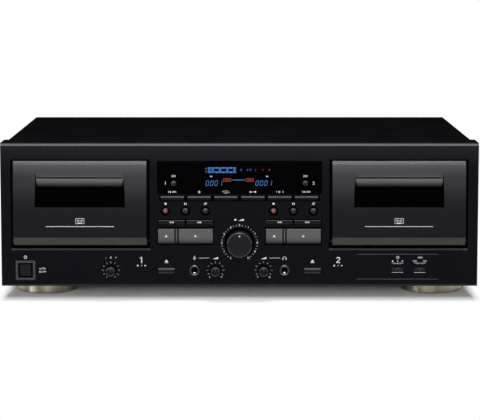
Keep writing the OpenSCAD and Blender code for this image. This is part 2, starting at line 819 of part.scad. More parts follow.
module main_board() {
    z = [main_z, main_z + board_t];
    y = face_y;
    x0 = -main_w / 2;
    d0 = main_y - face_y;
    coil_h = transformer_h - 8;
    color([0.10, 0.33, 0.18])
    union() {
        slab([-main_w / 2, main_w / 2], [d0, d0 + main_d], z);
        slab(around(x0 + 44, transformer_w), [d0 + 26, d0 + 78], [z[1] - eps, z[1] + transformer_h]);
        slab(around(x0 + 44, transformer_w - 24), [d0 + 16, d0 + 88], [z[1] - eps, z[1] + coil_h]);
        slab(around(x0 + 100, 4), [d0 + 30, d0 + 90], [z[1] - eps, z[1] + 32]);
        for (i = [0:2])
            upright(x0 + 120 + 16 * i, y + d0 + 30, [z[1] - eps, z[1] + 26], 6.4);
        for (i = [0:4])
            upright(x0 + 186 + 14 * i, y + d0 + 76, [z[1] - eps, z[1] + 14], 4);
        for (i = [0:3])
            slab(around(x0 + 182 + 26 * i, 18), [d0 + 34, d0 + 41], [z[1] - eps, z[1] + 4]);
    }
}

module front_sockets() {
    color([0.16, 0.16, 0.17])
    for (s = [-1, 1])
        translate([s * jack_x, 0, 0])
            difference() {
                union() {
                    turned(0, row_z, [[0, -1.8], [jack_ring_r - 0.5, -1.8], [jack_ring_r, -1.3],
                        [jack_ring_r, face_t + 1], [0, face_t + 1]]);
                    slab(around(0, 12.6), [face_t, face_t + 32], around(row_z, 12.6));
                }
                rod(0, row_z, [-3, face_t + 29], jack_r);
            }
}

module rear_sockets() {
    color([0.07, 0.07, 0.08])
    difference() {
        union() {
            slab(around(line_x, 44), [rear_d, rear_d + 2], [line_z[0] - 13, line_z[1] + 13]);
            slab(around(line_x, 36), [rear_d - 14, rear_d + eps], [line_z[0] - 9, line_z[1] + 9]);
            for (x = around(line_x, line_pitch))
                for (z = line_z)
                    rod(x, z, [rear_d + 1, case_depth + line_len], line_r);
        }
        for (x = around(line_x, line_pitch))
            for (z = line_z)
                rod(x, z, [rear_d - 6, case_depth + line_len + 1], 1.6);
    }
}

module audio_sockets() {
    front_sockets();
    rear_sockets();
}

module cord_gland() {
    color([0.05, 0.05, 0.05])
    difference() {
        turned(-gland_x, gland_z, [[0, rear_d - 9], [gland_r + 2.4, rear_d - 9], [gland_r + 2.4, rear_d],
            [gland_r + 4.4, rear_d], [gland_r + 4.4, rear_d + 2], [gland_r + 2.6, rear_d + 5],
            [0, rear_d + 5]]);
        rod(-gland_x, gland_z, [rear_d - 10, rear_d + 6], gland_r);
    }
}

module transport_frame(x) {
    post_d = [plate_d[1] - eps, bracket_d[0] + eps];
    difference() {
        union() {
            slab([x - plate_hw, x + plate_hw], plate_d, plate_z);
            for (s = [-1, 1])
                rod(x + s * hub_spacing / 2, hub_z, bush_d, bush_r);
            rod(x + capstan_x, capstan_z, bush_d, bush_r);
            slab([x - bracket_hw, x + bracket_hw], bracket_d, bracket_z);
            for (s = [-1, 1])
                rod(x + s * stay_x, bracket_z[1] - 4, post_d, 3);
            rod(x + stay_x, stay_z, post_d, stay_r);
        }
        for (s = [-1, 1])
            rod(x + s * hub_spacing / 2, hub_z, [plate_d[0] - 1, bush_d[1] + 1], screw_r + run_gap);
        rod(x + capstan_x, capstan_z, [plate_d[0] - 1, bracket_d[1] + 1], capstan_r + run_gap);
        rod(x - motor_x, capstan_z, [bracket_d[0] - 1, bracket_d[1] + 1], 3.5 + fit_gap);
        for (s = [-1, 1])
            slab(around(x + s * 20, 4 + 2 * slide_gap), [plate_d[0] - 1, plate_d[1] + 1],
                [carriage_top - 8 - slide_gap, carriage_top - 2 + carriage_lift + slide_gap]);
    }
}

module transport_frames() {
    color([0.60, 0.61, 0.63])
    for (n = [1, 2])
        transport_frame(bay_x(n));
}

module motors() {
    color([0.66, 0.67, 0.68])
    for (n = [1, 2])
        difference() {
            union() {
                rod(bay_x(n) - motor_x, capstan_z, [bracket_d[1], bracket_d[1] + motor_len], motor_r);
                rod(bay_x(n) - motor_x, capstan_z, [bracket_d[0], bracket_d[1] + eps], 3.5);
            }
            rod(bay_x(n) - motor_x, capstan_z, [bracket_d[0] - 1, bracket_d[1] + 12], 1 + run_gap);
        }
}

module motor_pulley(n) {
    x = bay_x(n) - motor_x;
    d = wheel_d;
    color([0.72, 0.62, 0.35])
    union() {
        turned(x, capstan_z, [[0, d[0] + 0.4], [pulley_r + 0.9, d[0] + 0.4], [pulley_r, d[0] + 1.1],
            [pulley_r, d[1] - 1.1], [pulley_r + 0.9, d[1] - 0.4], [0, d[1] - 0.4]]);
        rod(x, capstan_z, [d[1] - 1, bracket_d[1] + 11], 1);
    }
}

// Loop of belt round a pulley and a flywheel
module belt(x) {
    cr = flywheel_r + belt_gap;
    pr = pulley_r + belt_gap;
    span = capstan_x + motor_x;
    turn = asin((cr - pr) / span);
    translate([x + capstan_x, face_y + wheel_d[1] - 1.4, capstan_z])
        rotate([90, 0, 0])
            linear_extrude(wheel_d[1] - wheel_d[0] - 2.8)
                difference() {
                    polygon(loop(cr + belt_t, pr + belt_t, span, turn));
                    polygon(loop(cr, pr, span, turn));
                }
}

// Outline of two rounds joined by their outer tangents
function loop(r1, r2, span, turn) = concat(arc([0, 0], r1, -90 - turn, 90 + turn, 48),
    arc([-span, 0], r2, 90 + turn, 270 - turn, 24));

module drive_belts() {
    color([0.04, 0.04, 0.04])
    for (n = [1, 2])
        belt(bay_x(n));
}

module capstan(n) {
    x = bay_x(n) + capstan_x;
    d = wheel_d;
    rim = flywheel_r - 4;
    color([0.75, 0.76, 0.78])
    union() {
        rod(x, capstan_z, [hub_tip_d, bracket_d[1] + 1], capstan_r);
        turned(x, capstan_z, [[0, d[0]], [8, d[0]], [8, d[0] + 1], [rim, d[0] + 1], [rim, d[0]],
            [flywheel_r, d[0]], [flywheel_r, d[1]], [0, d[1]]]);
    }
}

// Reel hub: base disc, splined spindle and the axle behind it
module hub(x) {
    color([0.12, 0.12, 0.13])
    union() {
        turned(x, hub_z, [[0, hub_tip_d], [spindle_r - 2.2, hub_tip_d], [spindle_r, hub_tip_d + 3.4],
            [spindle_r, hub_base_d[0]], [hub_base_r, hub_base_d[0]], [hub_base_r, hub_base_d[1]],
            [0, hub_base_d[1]]]);
        for (a = [90, 210, 330])
            translate([x, 0, hub_z])
                rotate([0, a, 0])
                    slab([0, spindle_r + 1.1], [hub_tip_d + 2.6, hub_base_d[0] + eps], around(0, 1.4));
        rod(x, hub_z, [hub_base_d[1] - eps, bush_d[1] + 2], screw_r);
    }
}

// Sliding plate with the record and erase heads, and the pinch roller on its axle
module head_carriage(n) {
    x = bay_x(n);
    z = carriage_top;
    color([0.62, 0.63, 0.65]) {
        slab([x - 30, x + capstan_x + 6], carriage_d, [z - 11, z + 3]);
        slab(around(x, 13), [bay_d[0] + 3, carriage_d[0] + eps], [z - 8, z + 4]);
        slab(around(x - 17, 8), [bay_d[0] + 3, carriage_d[0] + eps], [z - 7, z + 3.4]);
        rod(x + capstan_x, z, [bay_d[0] + 2, carriage_d[0] + eps], 1);
        for (s = [-1, 1])
            slab(around(x + s * 20, 4), [carriage_d[1] - eps, plate_d[1] + 1], [z - 8, z - 2]);
    }
    color([0.05, 0.05, 0.05])
        difference() {
            rod(x + capstan_x, z, [bay_d[0] + 2.6, carriage_d[0] - 0.6], roller_r);
            rod(x + capstan_x, z, [bay_d[0], carriage_d[0] + 1], 1 + run_gap);
        }
}

// Depth of the curved door face at height h above the door's lower edge, with the roll along its top
function door_face(h) = -door_proud + pow(max(0, h - 20), 2) / (2 * door_curve)
    + pow(max(0, h - door_h + door_roll), 2) / (2 * door_roll_r);

module door(n) {
    x = bay_x(n);
    hw = door_w / 2;
    top = door_h - 0.7;
    h0 = door_strip_h;
    h1 = door_h - door_roll;
    face = concat([for (i = [0:9]) let (h = h0 + (h1 - h0) * i / 10) [door_face(h), door_z + h]],
        [for (i = [0:6]) let (h = h1 + (top - h1) * i / 6) [door_face(h), door_z + h]]);
    edge = window_z + window_h;
    color([0.24, 0.25, 0.26])
    difference() {
        intersection() {
            along_x([x - hw, x + hw], concat([[door_strip_d - door_proud, door_z]], face,
                [[door_face(top) + 0.7, door_top], [0, door_top], [0, door_z]]));
            along_z([door_z - 1, door_top + 1], [[x - hw + door_edge, -door_proud - 1],
                [x + hw - door_edge, -door_proud - 1], [x + hw - door_edge, -door_proud],
                [x + hw, -door_proud + door_edge], [x + hw, 1], [x - hw, 1],
                [x - hw, -door_proud + door_edge], [x - hw + door_edge, -door_proud]]);
        }
        intersection() {
            along_x([x - hw, x + hw], [[-9, window_z], [-9, edge + 6], [door_face(edge - door_z), edge],
                [-2.6, edge - window_bevel], [1, edge - window_bevel], [1, window_z]]);
            along_z([window_z - 1, edge + 9], [[x - window_w / 2 - 4, -9], [x + window_w / 2 + 4, -9],
                [x + window_w / 2, -door_proud], [x + window_w / 2 - window_side, -2.6],
                [x + window_w / 2 - window_side, 1], [x - window_w / 2 + window_side, 1],
                [x - window_w / 2 + window_side, -2.6], [x - window_w / 2, -door_proud]]);
        }
        slab([x - window_w / 2 - 3, x + window_w / 2 + 3], [flange_d[0], 1], [window_z - 3, edge + 2]);
    }
}

module door_window(n) {
    x = bay_x(n);
    sag = lens_front - (flange_d[0] - 0.3);
    r = (lens_roll * lens_roll + sag * sag) / (-2 * sag);
    top = lens_z[1] - lens_roll;
    roll = [for (i = [0:8]) let (h = lens_roll * i / 8) [lens_front + r - sqrt(r * r - h * h), top + h]];
    color([0.05, 0.05, 0.05])
    union() {
        intersection() {
            along_x([x - lens_hw, x + lens_hw], concat([[lens_front + 0.5, lens_z[0]],
                [lens_front, lens_z[0] + 0.6]], roll,
                [[flange_d[1], lens_z[1]], [flange_d[1], lens_z[0]]]));
            along_z([lens_z[0] - 1, lens_z[1] + 1], [[x - lens_hw + 1, lens_front - 0.1],
                [x + lens_hw - 1, lens_front - 0.1], [x + lens_hw, lens_front + 1], [x + lens_hw, 0],
                [x - lens_hw, 0], [x - lens_hw, lens_front + 1]]);
        }
        slab([x - window_w / 2 - 2.4, x + window_w / 2 + 2.4], flange_d,
            [window_z - 2.4, window_z + window_h + 1.4]);
    }
}

module cassette_holder(n) {
    x = bay_x(n);
    z = [shelf_z - holder_wall, holder_top];
    cut = [window_z - 1, window_z + window_h - 2];
    color([0.09, 0.09, 0.10])
    union() {
        difference() {
            slab([x - holder_out, x + holder_out], holder_d, z);
            slab([x - window_w / 2 + 3, x + window_w / 2 - 3], [-1, 3], cut);
        }
        for (s = [-1, 1]) {
            translate([s < 0 ? x - holder_out : x + holder_in, 0, 0]) {
                slab([0, holder_wall], [holder_d[0], holder_back[1]], z);
                slab([s < 0 ? 0 : -5, s < 0 ? 5 + holder_wall : holder_wall], holder_back, z);
                slab([s < 0 ? 0 : -12, s < 0 ? 12 + holder_wall : holder_wall],
                    [holder_d[0], holder_back[1]], [z[0], shelf_z]);
            }
            hinge_arm(x, s);
        }
    }
}

// Arm that joins the holder to its hinge pin
module hinge_arm(x, s) {
    tip = arm_tip;
    d = [holder_d[0], hinge_d + 3];
    translate([x, 0, 0]) {
        slab([s < 0 ? -tip : holder_out - eps, s < 0 ? -holder_out + eps : tip], d,
            [shelf_z - holder_wall, shelf_z + 6]);
        slab([s < 0 ? -tip : tip - 3, s < 0 ? -tip + 3 : tip], d, [hinge_z - 2.4, shelf_z + 6]);
        crossrod([s < 0 ? -open_hw - hinge_in + 0.6 : tip - 1, s < 0 ? -tip + 1 : open_hw + hinge_in - 0.6],
            hinge_d, hinge_z, hinge_r);
    }
}

module power_button() {
    color([0.15, 0.15, 0.16])
        key(-power_x, row_z, power_w, power_w, [0.6, 0.6, 0.6, 0.6, 0.6]);
}

// Small fluted knob with its shaft
module small_knob(x) {
    r = small_d / 2;
    p = -small_proud;
    color([0.12, 0.12, 0.13])
    union() {
        difference() {
            turned(x, row_z, [[0, p], [r - 1, p], [r - 0.3, p + 0.3], [r - 0.1, p + 0.9], [r, 0.5],
                [0, 0.5]]);
            for (i = [0:17])
                translate([x, 0, row_z])
                    rotate([0, 20 * i + 10, 0])
                        rod(r + 0.15, 0, [p - 1, -1.5], 0.45);
            slab(around(x, 0.8), [p - 1, p + 0.5], [row_z + 0.8, row_z + r + 1]);
        }
        rod(x, row_z, [0.5 - eps, shaft_end], small_shaft_r);
    }
}

module pitch_knob() small_knob(-pitch_x);
module mic_level_knob() small_knob(-small_x);
module phones_level_knob() small_knob(small_x);

module rec_level_knob() {
    r = level_d / 2;
    p = -level_proud;
    color([0.14, 0.14, 0.15])
    union() {
        difference() {
            turned(0, level_z, [[0, p + 0.3], [r - 2.2, p + 0.3], [r - 1.8, p], [r - 0.9, p],
                [r - 0.2, p + 0.7], [r, p + 1.2], [r + 0.4, 0.8], [0, 0.8]]);
            rod(0, level_z + r - 3.4, [p - 1, p + 0.7], 0.8);
        }
        rod(0, level_z, [0.8 - eps, shaft_end], level_shaft_r);
    }
}

module stop_button(n) {
    color([0.42, 0.42, 0.43])
        key(stop_x(n), play_z, stop_w, play_h, [0.5, 0.5, 1.1, 0.8, 0.4]);
}

module play_button(n) {
    x = play_x(n);
    groove = x - play_w / 2 + strip_w;
    color([0.42, 0.42, 0.43])
    difference() {
        key(x, play_z, play_w, play_h, [0.5, 0.5, 1.1, 0.8, 0.4]);
        slab([groove, groove + groove_w], [-key_proud - 1, -key_proud + groove_d],
            around(play_z, play_h + 2));
    }
}

module search_button(x) {
    color([0.36, 0.36, 0.37])
        key(x, search_z, search_w, search_h, [0.7, 0.6, 0.7, 0.6, 0.4]);
}

module eject_button(x) {
    z = row_z - 0.4;
    color([0.38, 0.38, 0.39])
    difference() {
        key(x, z, eject_w, eject_h, [1.4, 0.9, 1.2, 0.8, 0.4]);
        slab(around(x, eject_w + 2), [-key_proud - 1, -key_proud + 0.5], around(z - 0.1, 0.9));
    }
}

module round_button(x, z) {
    color([0.34, 0.34, 0.35])
        round_key(x, z, -1.1, round_d / 2);
}

module counter_button(x) {
    color([0.22, 0.22, 0.23])
        round_key(x, counter_z, -0.8, counter_d / 2);
}

module function_button(i) {
    color([0.40, 0.40, 0.41])
        key(function_x(i), function_z, function_w, function_h, [2.2, 1.3, 0.4, 0.3, 0.3]);
}

// Slide switch cap with the plate that covers its slot
module slide_switch(x) {
    z = row_z + 0.4;
    color([0.20, 0.20, 0.21])
    union() {
        bar(around(x, slot_w - 2 * slide_travel - 2 * fit_gap - 1.6), around(z, slot_h - 2 * key_gap),
            [-0.7, face_t + 0.4], [0.4, 0.4, 0.4, 0.4, 0.4]);
        slab(around(x, slot_w + 2 * slide_travel + 1), [face_t + slide_gap, face_t + 1.4],
            around(z, slot_h + 2));
        slab(around(x, stem_w), [face_t + 1, stem_end], around(z, stem_w));
    }
}

module timer_switch() slide_switch(timer_x);
module noise_switch() slide_switch(noise_x);

front_panel();
top_cover();
chassis();
feet();
case_screws();
display_window();
control_board();
main_board();
audio_sockets();
cord_gland();
transport_frames();
motors();
drive_belts();
door(1);  // door_1
door(2);  // door_2
door_window(1);  // door_window_1
door_window(2);  // door_window_2
cassette_holder(1);  // cassette_holder_1
cassette_holder(2);  // cassette_holder_2
power_button();
pitch_knob();
mic_level_knob();
phones_level_knob();
rec_level_knob();
eject_button(-eject_x);  // eject_button_1
eject_button(eject_x);  // eject_button_2
stop_button(1);  // stop_button_1
stop_button(2);  // stop_button_2
play_button(1);  // play_button_1
play_button(2);  // play_button_2
search_button(rewind_x(1));  // rewind_button_1
search_button(rewind_x(2));  // rewind_button_2
search_button(forward_x(1));  // forward_button_1
search_button(forward_x(2));  // forward_button_2
round_button(round_x(1, 0), round_z);  // record_button_1
round_button(round_x(2, 0), round_z);  // record_button_2
round_button(round_x(1, 1), round_z);  // pause_button_1
round_button(round_x(2, 1), round_z);  // pause_button_2
round_button(round_x(1, 2), round_z);  // mute_button_1
round_button(round_x(2, 2), round_z);  // mute_button_2
counter_button(-counter_x);  // counter_button_1
counter_button(counter_x);  // counter_button_2
function_button(0);  // zero_button_1
function_button(1);  // dimmer_button
function_button(2);  // repeat_button
function_button(3);  // parallel_button
function_button(4);  // dubbing_button
function_button(5);  // zero_button_2
timer_switch();
noise_switch();
hub(bay_x(1) - hub_spacing / 2);  // supply_hub_1
hub(bay_x(2) - hub_spacing / 2);  // supply_hub_2
hub(bay_x(1) + hub_spacing / 2);  // takeup_hub_1
hub(bay_x(2) + hub_spacing / 2);  // takeup_hub_2
capstan(1);  // capstan_1
capstan(2);  // capstan_2
motor_pulley(1);  // motor_pulley_1
motor_pulley(2);  // motor_pulley_2
head_carriage(1);  // head_carriage_1
head_carriage(2);  // head_carriage_2
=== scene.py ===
import math
from functools import partial

import bmesh
import bpy
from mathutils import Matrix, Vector

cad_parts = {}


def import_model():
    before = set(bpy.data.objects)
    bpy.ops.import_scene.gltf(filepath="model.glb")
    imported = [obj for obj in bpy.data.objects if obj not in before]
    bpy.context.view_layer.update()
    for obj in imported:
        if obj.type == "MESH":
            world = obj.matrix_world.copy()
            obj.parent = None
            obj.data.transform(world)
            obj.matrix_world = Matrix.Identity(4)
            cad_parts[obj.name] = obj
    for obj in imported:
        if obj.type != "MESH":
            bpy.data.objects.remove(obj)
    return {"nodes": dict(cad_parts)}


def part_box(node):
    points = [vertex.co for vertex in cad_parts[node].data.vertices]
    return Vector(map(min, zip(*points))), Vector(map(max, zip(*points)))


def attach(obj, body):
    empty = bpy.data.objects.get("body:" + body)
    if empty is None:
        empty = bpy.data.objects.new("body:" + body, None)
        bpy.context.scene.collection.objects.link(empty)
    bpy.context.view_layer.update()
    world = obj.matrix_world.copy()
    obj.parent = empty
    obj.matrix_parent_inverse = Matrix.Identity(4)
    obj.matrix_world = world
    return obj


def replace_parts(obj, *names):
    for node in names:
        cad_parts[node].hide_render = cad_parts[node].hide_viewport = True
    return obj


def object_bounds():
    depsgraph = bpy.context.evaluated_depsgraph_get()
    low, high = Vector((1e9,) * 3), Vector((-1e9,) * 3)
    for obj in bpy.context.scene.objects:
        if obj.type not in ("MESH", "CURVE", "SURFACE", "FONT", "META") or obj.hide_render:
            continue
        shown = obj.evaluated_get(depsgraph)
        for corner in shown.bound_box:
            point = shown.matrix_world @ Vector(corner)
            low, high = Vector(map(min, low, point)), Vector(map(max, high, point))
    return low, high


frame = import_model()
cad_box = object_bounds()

# A double cassette deck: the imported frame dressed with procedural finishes, printed marks,
# a lit display and socket contacts. Lengths are in millimetres until a mesh or shader takes them.
MM = 0.001
DECKS = (1, 2)
PRINT = 0.03         # how far ink stands off the surface that it is printed on
BEZEL_PROUD = 0.7    # how far the power button's bezel stands in front of the panel


def box_mm(node):
    lo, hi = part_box(node)
    return lo / MM, hi / MM


def mid(node):
    """Middle of a node as seen from the front: sideways place and height."""
    lo, hi = box_mm(node)
    return (lo.x + hi.x) / 2, (lo.z + hi.z) / 2


def front(node):
    return box_mm(node)[0].y


FACE = front("front_panel") + BEZEL_PROUD
TOP = box_mm("front_panel")[1].z
WINDOW_FACE = front("display_window")
WINDOW_LOW = box_mm("display_window")[0].z
DOOR_LOW, DOOR_TOP = (corner.z for corner in box_mm("door_1"))
ROW = mid("power_button")[1]         # height of the lower row of controls
LABEL_Z = ROW + 11.2                 # height of the signs over that row
JACK_X = 41.1                        # sideways place of the right plug socket, mirrored on the left
DECK_SIGN_X = {1: -89.4, 2: 90.2}    # sideways places of the deck figures
DOOR_DROP = 3.9                      # gap under a door, down to the sill of its opening
STRIP_H = 7.1                        # height of the strip along a door's lower edge, paled by a painted reflection
FIELD_D = 0.5                        # depth of the field round the slide switches
WELL = 1.0                           # width of the ring-shaped recess round a round key
SMOOTH_ANGLE = math.radians(12)      # facets that meet at less than this shade as one curve
FRONTWARD = -0.3                     # a face whose normal has a smaller y looks to the front
SQUARE = 0.9                         # a normal longer than this along an axis is square to it


# Materials

class Shader:
    """A new material with its Principled shader and short ways to add and join nodes."""

    def __init__(self, name):
        self.material = bpy.data.materials.new(name)
        self.material.use_nodes = True
        tree = self.material.node_tree
        self.nodes, self.links = tree.nodes, tree.links
        self.bsdf = self.nodes["Principled BSDF"]
        self.place = self.nodes.new("ShaderNodeTexCoord").outputs["Object"]

    def set(self, **values):
        for name, value in values.items():
            self.bsdf.inputs[name.replace("_", " ")].default_value = value

    def plug(self, socket, value):
        if isinstance(value, bpy.types.NodeSocket):
            self.links.new(value, socket)
        else:
            socket.default_value = value

    def add(self, kind, **inputs):
        node = self.nodes.new("ShaderNode" + kind)
        for name, value in inputs.items():
            self.plug(node.inputs[name.replace("_", " ")], value)
        return node

    def noise(self, size, stretch=(1, 1, 1), detail=3):
        """Noise whose grains are about size millimetres across, stretched along an axis."""
        scale = [1 / (size * MM * s) for s in stretch]
        spread = self.add("Mapping", Vector=self.place, Scale=scale)
        node = self.add("TexNoise", Vector=spread.outputs[0], Scale=1.0, Detail=detail)
        return node.outputs["Fac"]

    def ramp(self, fac, low, high, stops=(0.35, 0.65)):
        """Colour that runs from low to high as fac passes the stops."""
        node = self.add("ValToRGB", Fac=fac)
        for element, stop, colour in zip(node.color_ramp.elements, stops, (low, high)):
            element.position = stop
            element.color = (*colour, 1)
        return node.outputs["Color"]

    def span(self, fac, low, high):
        """Runs from low to high over the middle of a noise."""
        node = self.add("MapRange", Value=fac, From_Min=0.3, From_Max=0.7, To_Min=low, To_Max=high)
        return node.outputs["Result"]

    def math(self, operation, *values):
        node = self.nodes.new("ShaderNodeMath")
        node.operation = operation
        for socket, value in zip(node.inputs, values):
            self.plug(socket, value)
        return node.outputs[0]

    def mix(self, fac, a, b):
        node = self.nodes.new("ShaderNodeMix")
        node.data_type = "RGBA"
        for index, value in ((0, fac), (6, a), (7, b)):
            self.plug(node.inputs[index], value)
        return node.outputs[2]

    def join(self, output, name):
        self.links.new(output, self.bsdf.inputs[name])

    def tint(self, fac, colour):
        """Blends the base colour towards another colour, a triple or a socket, by fac."""
        body = self.bsdf.inputs["Base Color"].links[0].from_socket
        if isinstance(colour, tuple):
            colour = (*colour, 1)
        self.join(self.mix(fac, body, colour), "Base Color")

    def height(self, low, high):
        """Runs from 0 to 1 between two heights, downwards where low is the larger."""
        z = self.add("SeparateXYZ", Vector=self.place).outputs["Z"]
        node = self.add("MapRange", Value=z, From_Min=low * MM, From_Max=high * MM)
        node.interpolation_type = "SMOOTHSTEP"
        return node.outputs["Result"]

    def gloss(self, fac, low, high):
        """Runs the strength of the reflections from low to high with fac."""
        level = self.add("MapRange", Value=fac, To_Min=low, To_Max=high)
        self.join(level.outputs["Result"], "Specular IOR Level")

    def relief(self, height, depth, strength=0.5):
        bump = self.add("Bump", Height=height, Strength=strength, Distance=depth * MM)
        self.join(bump.outputs["Normal"], "Normal")


def background_rays(nodes, links):
    """One where a ray shows the background: camera, glossy and transmission rays."""
    path = nodes.new("ShaderNodeLightPath")
    total = path.outputs["Is Camera Ray"]
    for name in ("Is Glossy Ray", "Is Transmission Ray"):
        larger = nodes.new("ShaderNodeMath")
        larger.operation = "MAXIMUM"
        links.new(total, larger.inputs[0])
        links.new(path.outputs[name], larger.inputs[1])
        total = larger.outputs[0]
    return total


def shade(colour, factor):
    return tuple(min(1.0, c * factor) for c in colour)


def grained(name, colour, rough, level=0.5, metal=0.0, grain=0.4, tint=0.12, depth=0.01):
    """Painted, moulded or plated surface whose grain varies its colour, gloss and height."""
    patch, fine_share, uneven = 45, 0.6, 0.12
    s = Shader(name)
    fine = s.noise(grain)
    broad = s.noise(patch, detail=2)
    both = s.math("ADD", s.math("MULTIPLY", fine, fine_share),
                  s.math("MULTIPLY", broad, 1 - fine_share))
    s.join(s.ramp(both, shade(colour, 1 - tint), shade(colour, 1 + tint)), "Base Color")
    s.join(s.span(fine, rough * (1 - uneven), rough * (1 + uneven)), "Roughness")
    s.relief(fine, depth)
    s.set(Metallic=metal, Specular_IOR_Level=level)
    return s


def streaked(name, dark, light, rough):
    """Turned metal with soft upright streaks and fine grooves round it."""
    uneven, groove = 0.15, 0.2
    s = Shader(name)
    streak = s.noise(9, (1, 1, 30), detail=1)
    fine = s.noise(0.25, (160, 160, 1))
    s.join(s.ramp(streak, dark, light, (0.38, 0.62)), "Base Color")
    s.join(s.span(fine, rough * (1 - uneven), rough * (1 + uneven)), "Roughness")
    s.relief(fine, groove)
    s.set(Metallic=1.0)
    return s


def glow(name, colour):
    """Lit segment of the display, a little uneven like a phosphor."""
    s = Shader(name)
    fine = s.noise(0.5)
    s.join(s.ramp(fine, shade(colour, 0.8), colour), "Emission Color")
    s.join(s.ramp(fine, (0.004, 0.004, 0.004), (0.006, 0.006, 0.006)), "Base Color")
    s.join(s.span(fine, 0.45, 0.55), "Roughness")
    s.relief(fine, 0.001)
    s.set(Specular_IOR_Level=0.02, Emission_Strength=1.0)
    return s


coat = partial(grained, grain=0.35, depth=0.003)       # painted panel
satin = partial(grained, grain=0.3, depth=0.004)       # moulded keys and trim
moulded = partial(grained, grain=0.3, depth=0.006)     # knobs and large keys
glassy = partial(grained, grain=2.0, depth=0.0005)     # smoked windows
plated = partial(grained, metal=1.0, grain=0.3, tint=0.06, depth=0.003)
printed = partial(grained, level=0.2, grain=0.25, depth=0.003)


def panel_finish():
    """Satin black panel with painted light making it a little paler along its top."""
    s = coat("panel_black", (0.0016, 0.0014, 0.0030), 0.26, level=0.05)
    # painted light: the top 28 mm turn paler, as if lit more from above
    s.tint(s.height(TOP - 28, TOP), (0.0065, 0.0065, 0.0092))
    return s


def bevel_finish():
    """Bevel along the panel's top, glossier towards its lower edge."""
    s = coat("panel_bevel", (0.006, 0.006, 0.0065), 0.22)
    s.gloss(s.height(TOP - 0.1, TOP - 1.5), 0.01, 0.175)
    return s


def door_finish():
    """Dark satin door with a painted highlight along its top, and a strip along its lower edge with
    a brush grain and a painted reflection of the floor.
    """
    s = satin("door_satin", (0.0006, 0.0005, 0.0030), 0.2, level=0.145)
    # painted highlight: paler over the top 16 mm of the door
    s.tint(s.height(DOOR_TOP - 16, DOOR_TOP - 1), (0.024, 0.023, 0.029))
    strip_top = (DOOR_LOW + STRIP_H) * MM
    z = s.add("SeparateXYZ", Vector=s.place).outputs["Z"]
    # the strip's brush grain is its own; its paler colour is a painted reflection of the floor
    brush = s.noise(0.3, (60, 1, 1))
    brushed_reflection = s.ramp(brush, (0.025, 0.025, 0.0225), (0.035, 0.035, 0.032))
    s.tint(s.math("LESS_THAN", z, strip_top), brushed_reflection)
    return s


def lens_finish():
    """Smoked lens of a door, with a painted reflection along its curved top."""
    s = glassy("smoked_lens", (0.0002, 0.0002, 0.0003), 0.16, level=0.006)
    # painted reflection: a pale band over the curved top of the lens
    s.tint(s.height(DOOR_TOP - 23.6, DOOR_TOP - 16), (0.080, 0.079, 0.083))
    return s


def key_finish():
    """Satin grey of the large keys, with painted shade darkening them towards their lower edge."""
    s = moulded("key_grey", (0.012, 0.012, 0.013), 0.42, level=0.17, tint=0.06)
    low = box_mm("stop_button_1")[0].z
    # painted shade: the key grows darker over its lowest few millimetres
    s.tint(s.height(low - 1, low + 6.5), (0.061, 0.061, 0.063))
    return s


def strip_finish():
    """Keys under the display, with a painted highlight as a pale line along their upper bevel."""
    s = satin("key_strip", (0.0036, 0.0034, 0.0048), 0.26, level=0.03)
    high = box_mm("dimmer_button")[1].z
    above, below = s.height(high - 1.65, high - 1.4), s.height(high - 0.3, high - 0.45)
    # painted highlight: a pale band along the upper bevel
    s.tint(s.math("MULTIPLY", above, below), (0.066, 0.066, 0.069))
    return s


def ring_finish():
    """Plated ring of a plug socket, with painted highlights at its top and bottom."""
    s = plated("nickel_ring", (0.042, 0.040, 0.035), 0.3)
    # painted highlights: paler over the ring's top and brighter still over its bottom
    s.tint(s.height(ROW + 2.5, ROW + 4.4), (0.085, 0.081, 0.072))
    s.tint(s.height(ROW - 2.5, ROW - 4.2), (0.20, 0.195, 0.18))
    return s


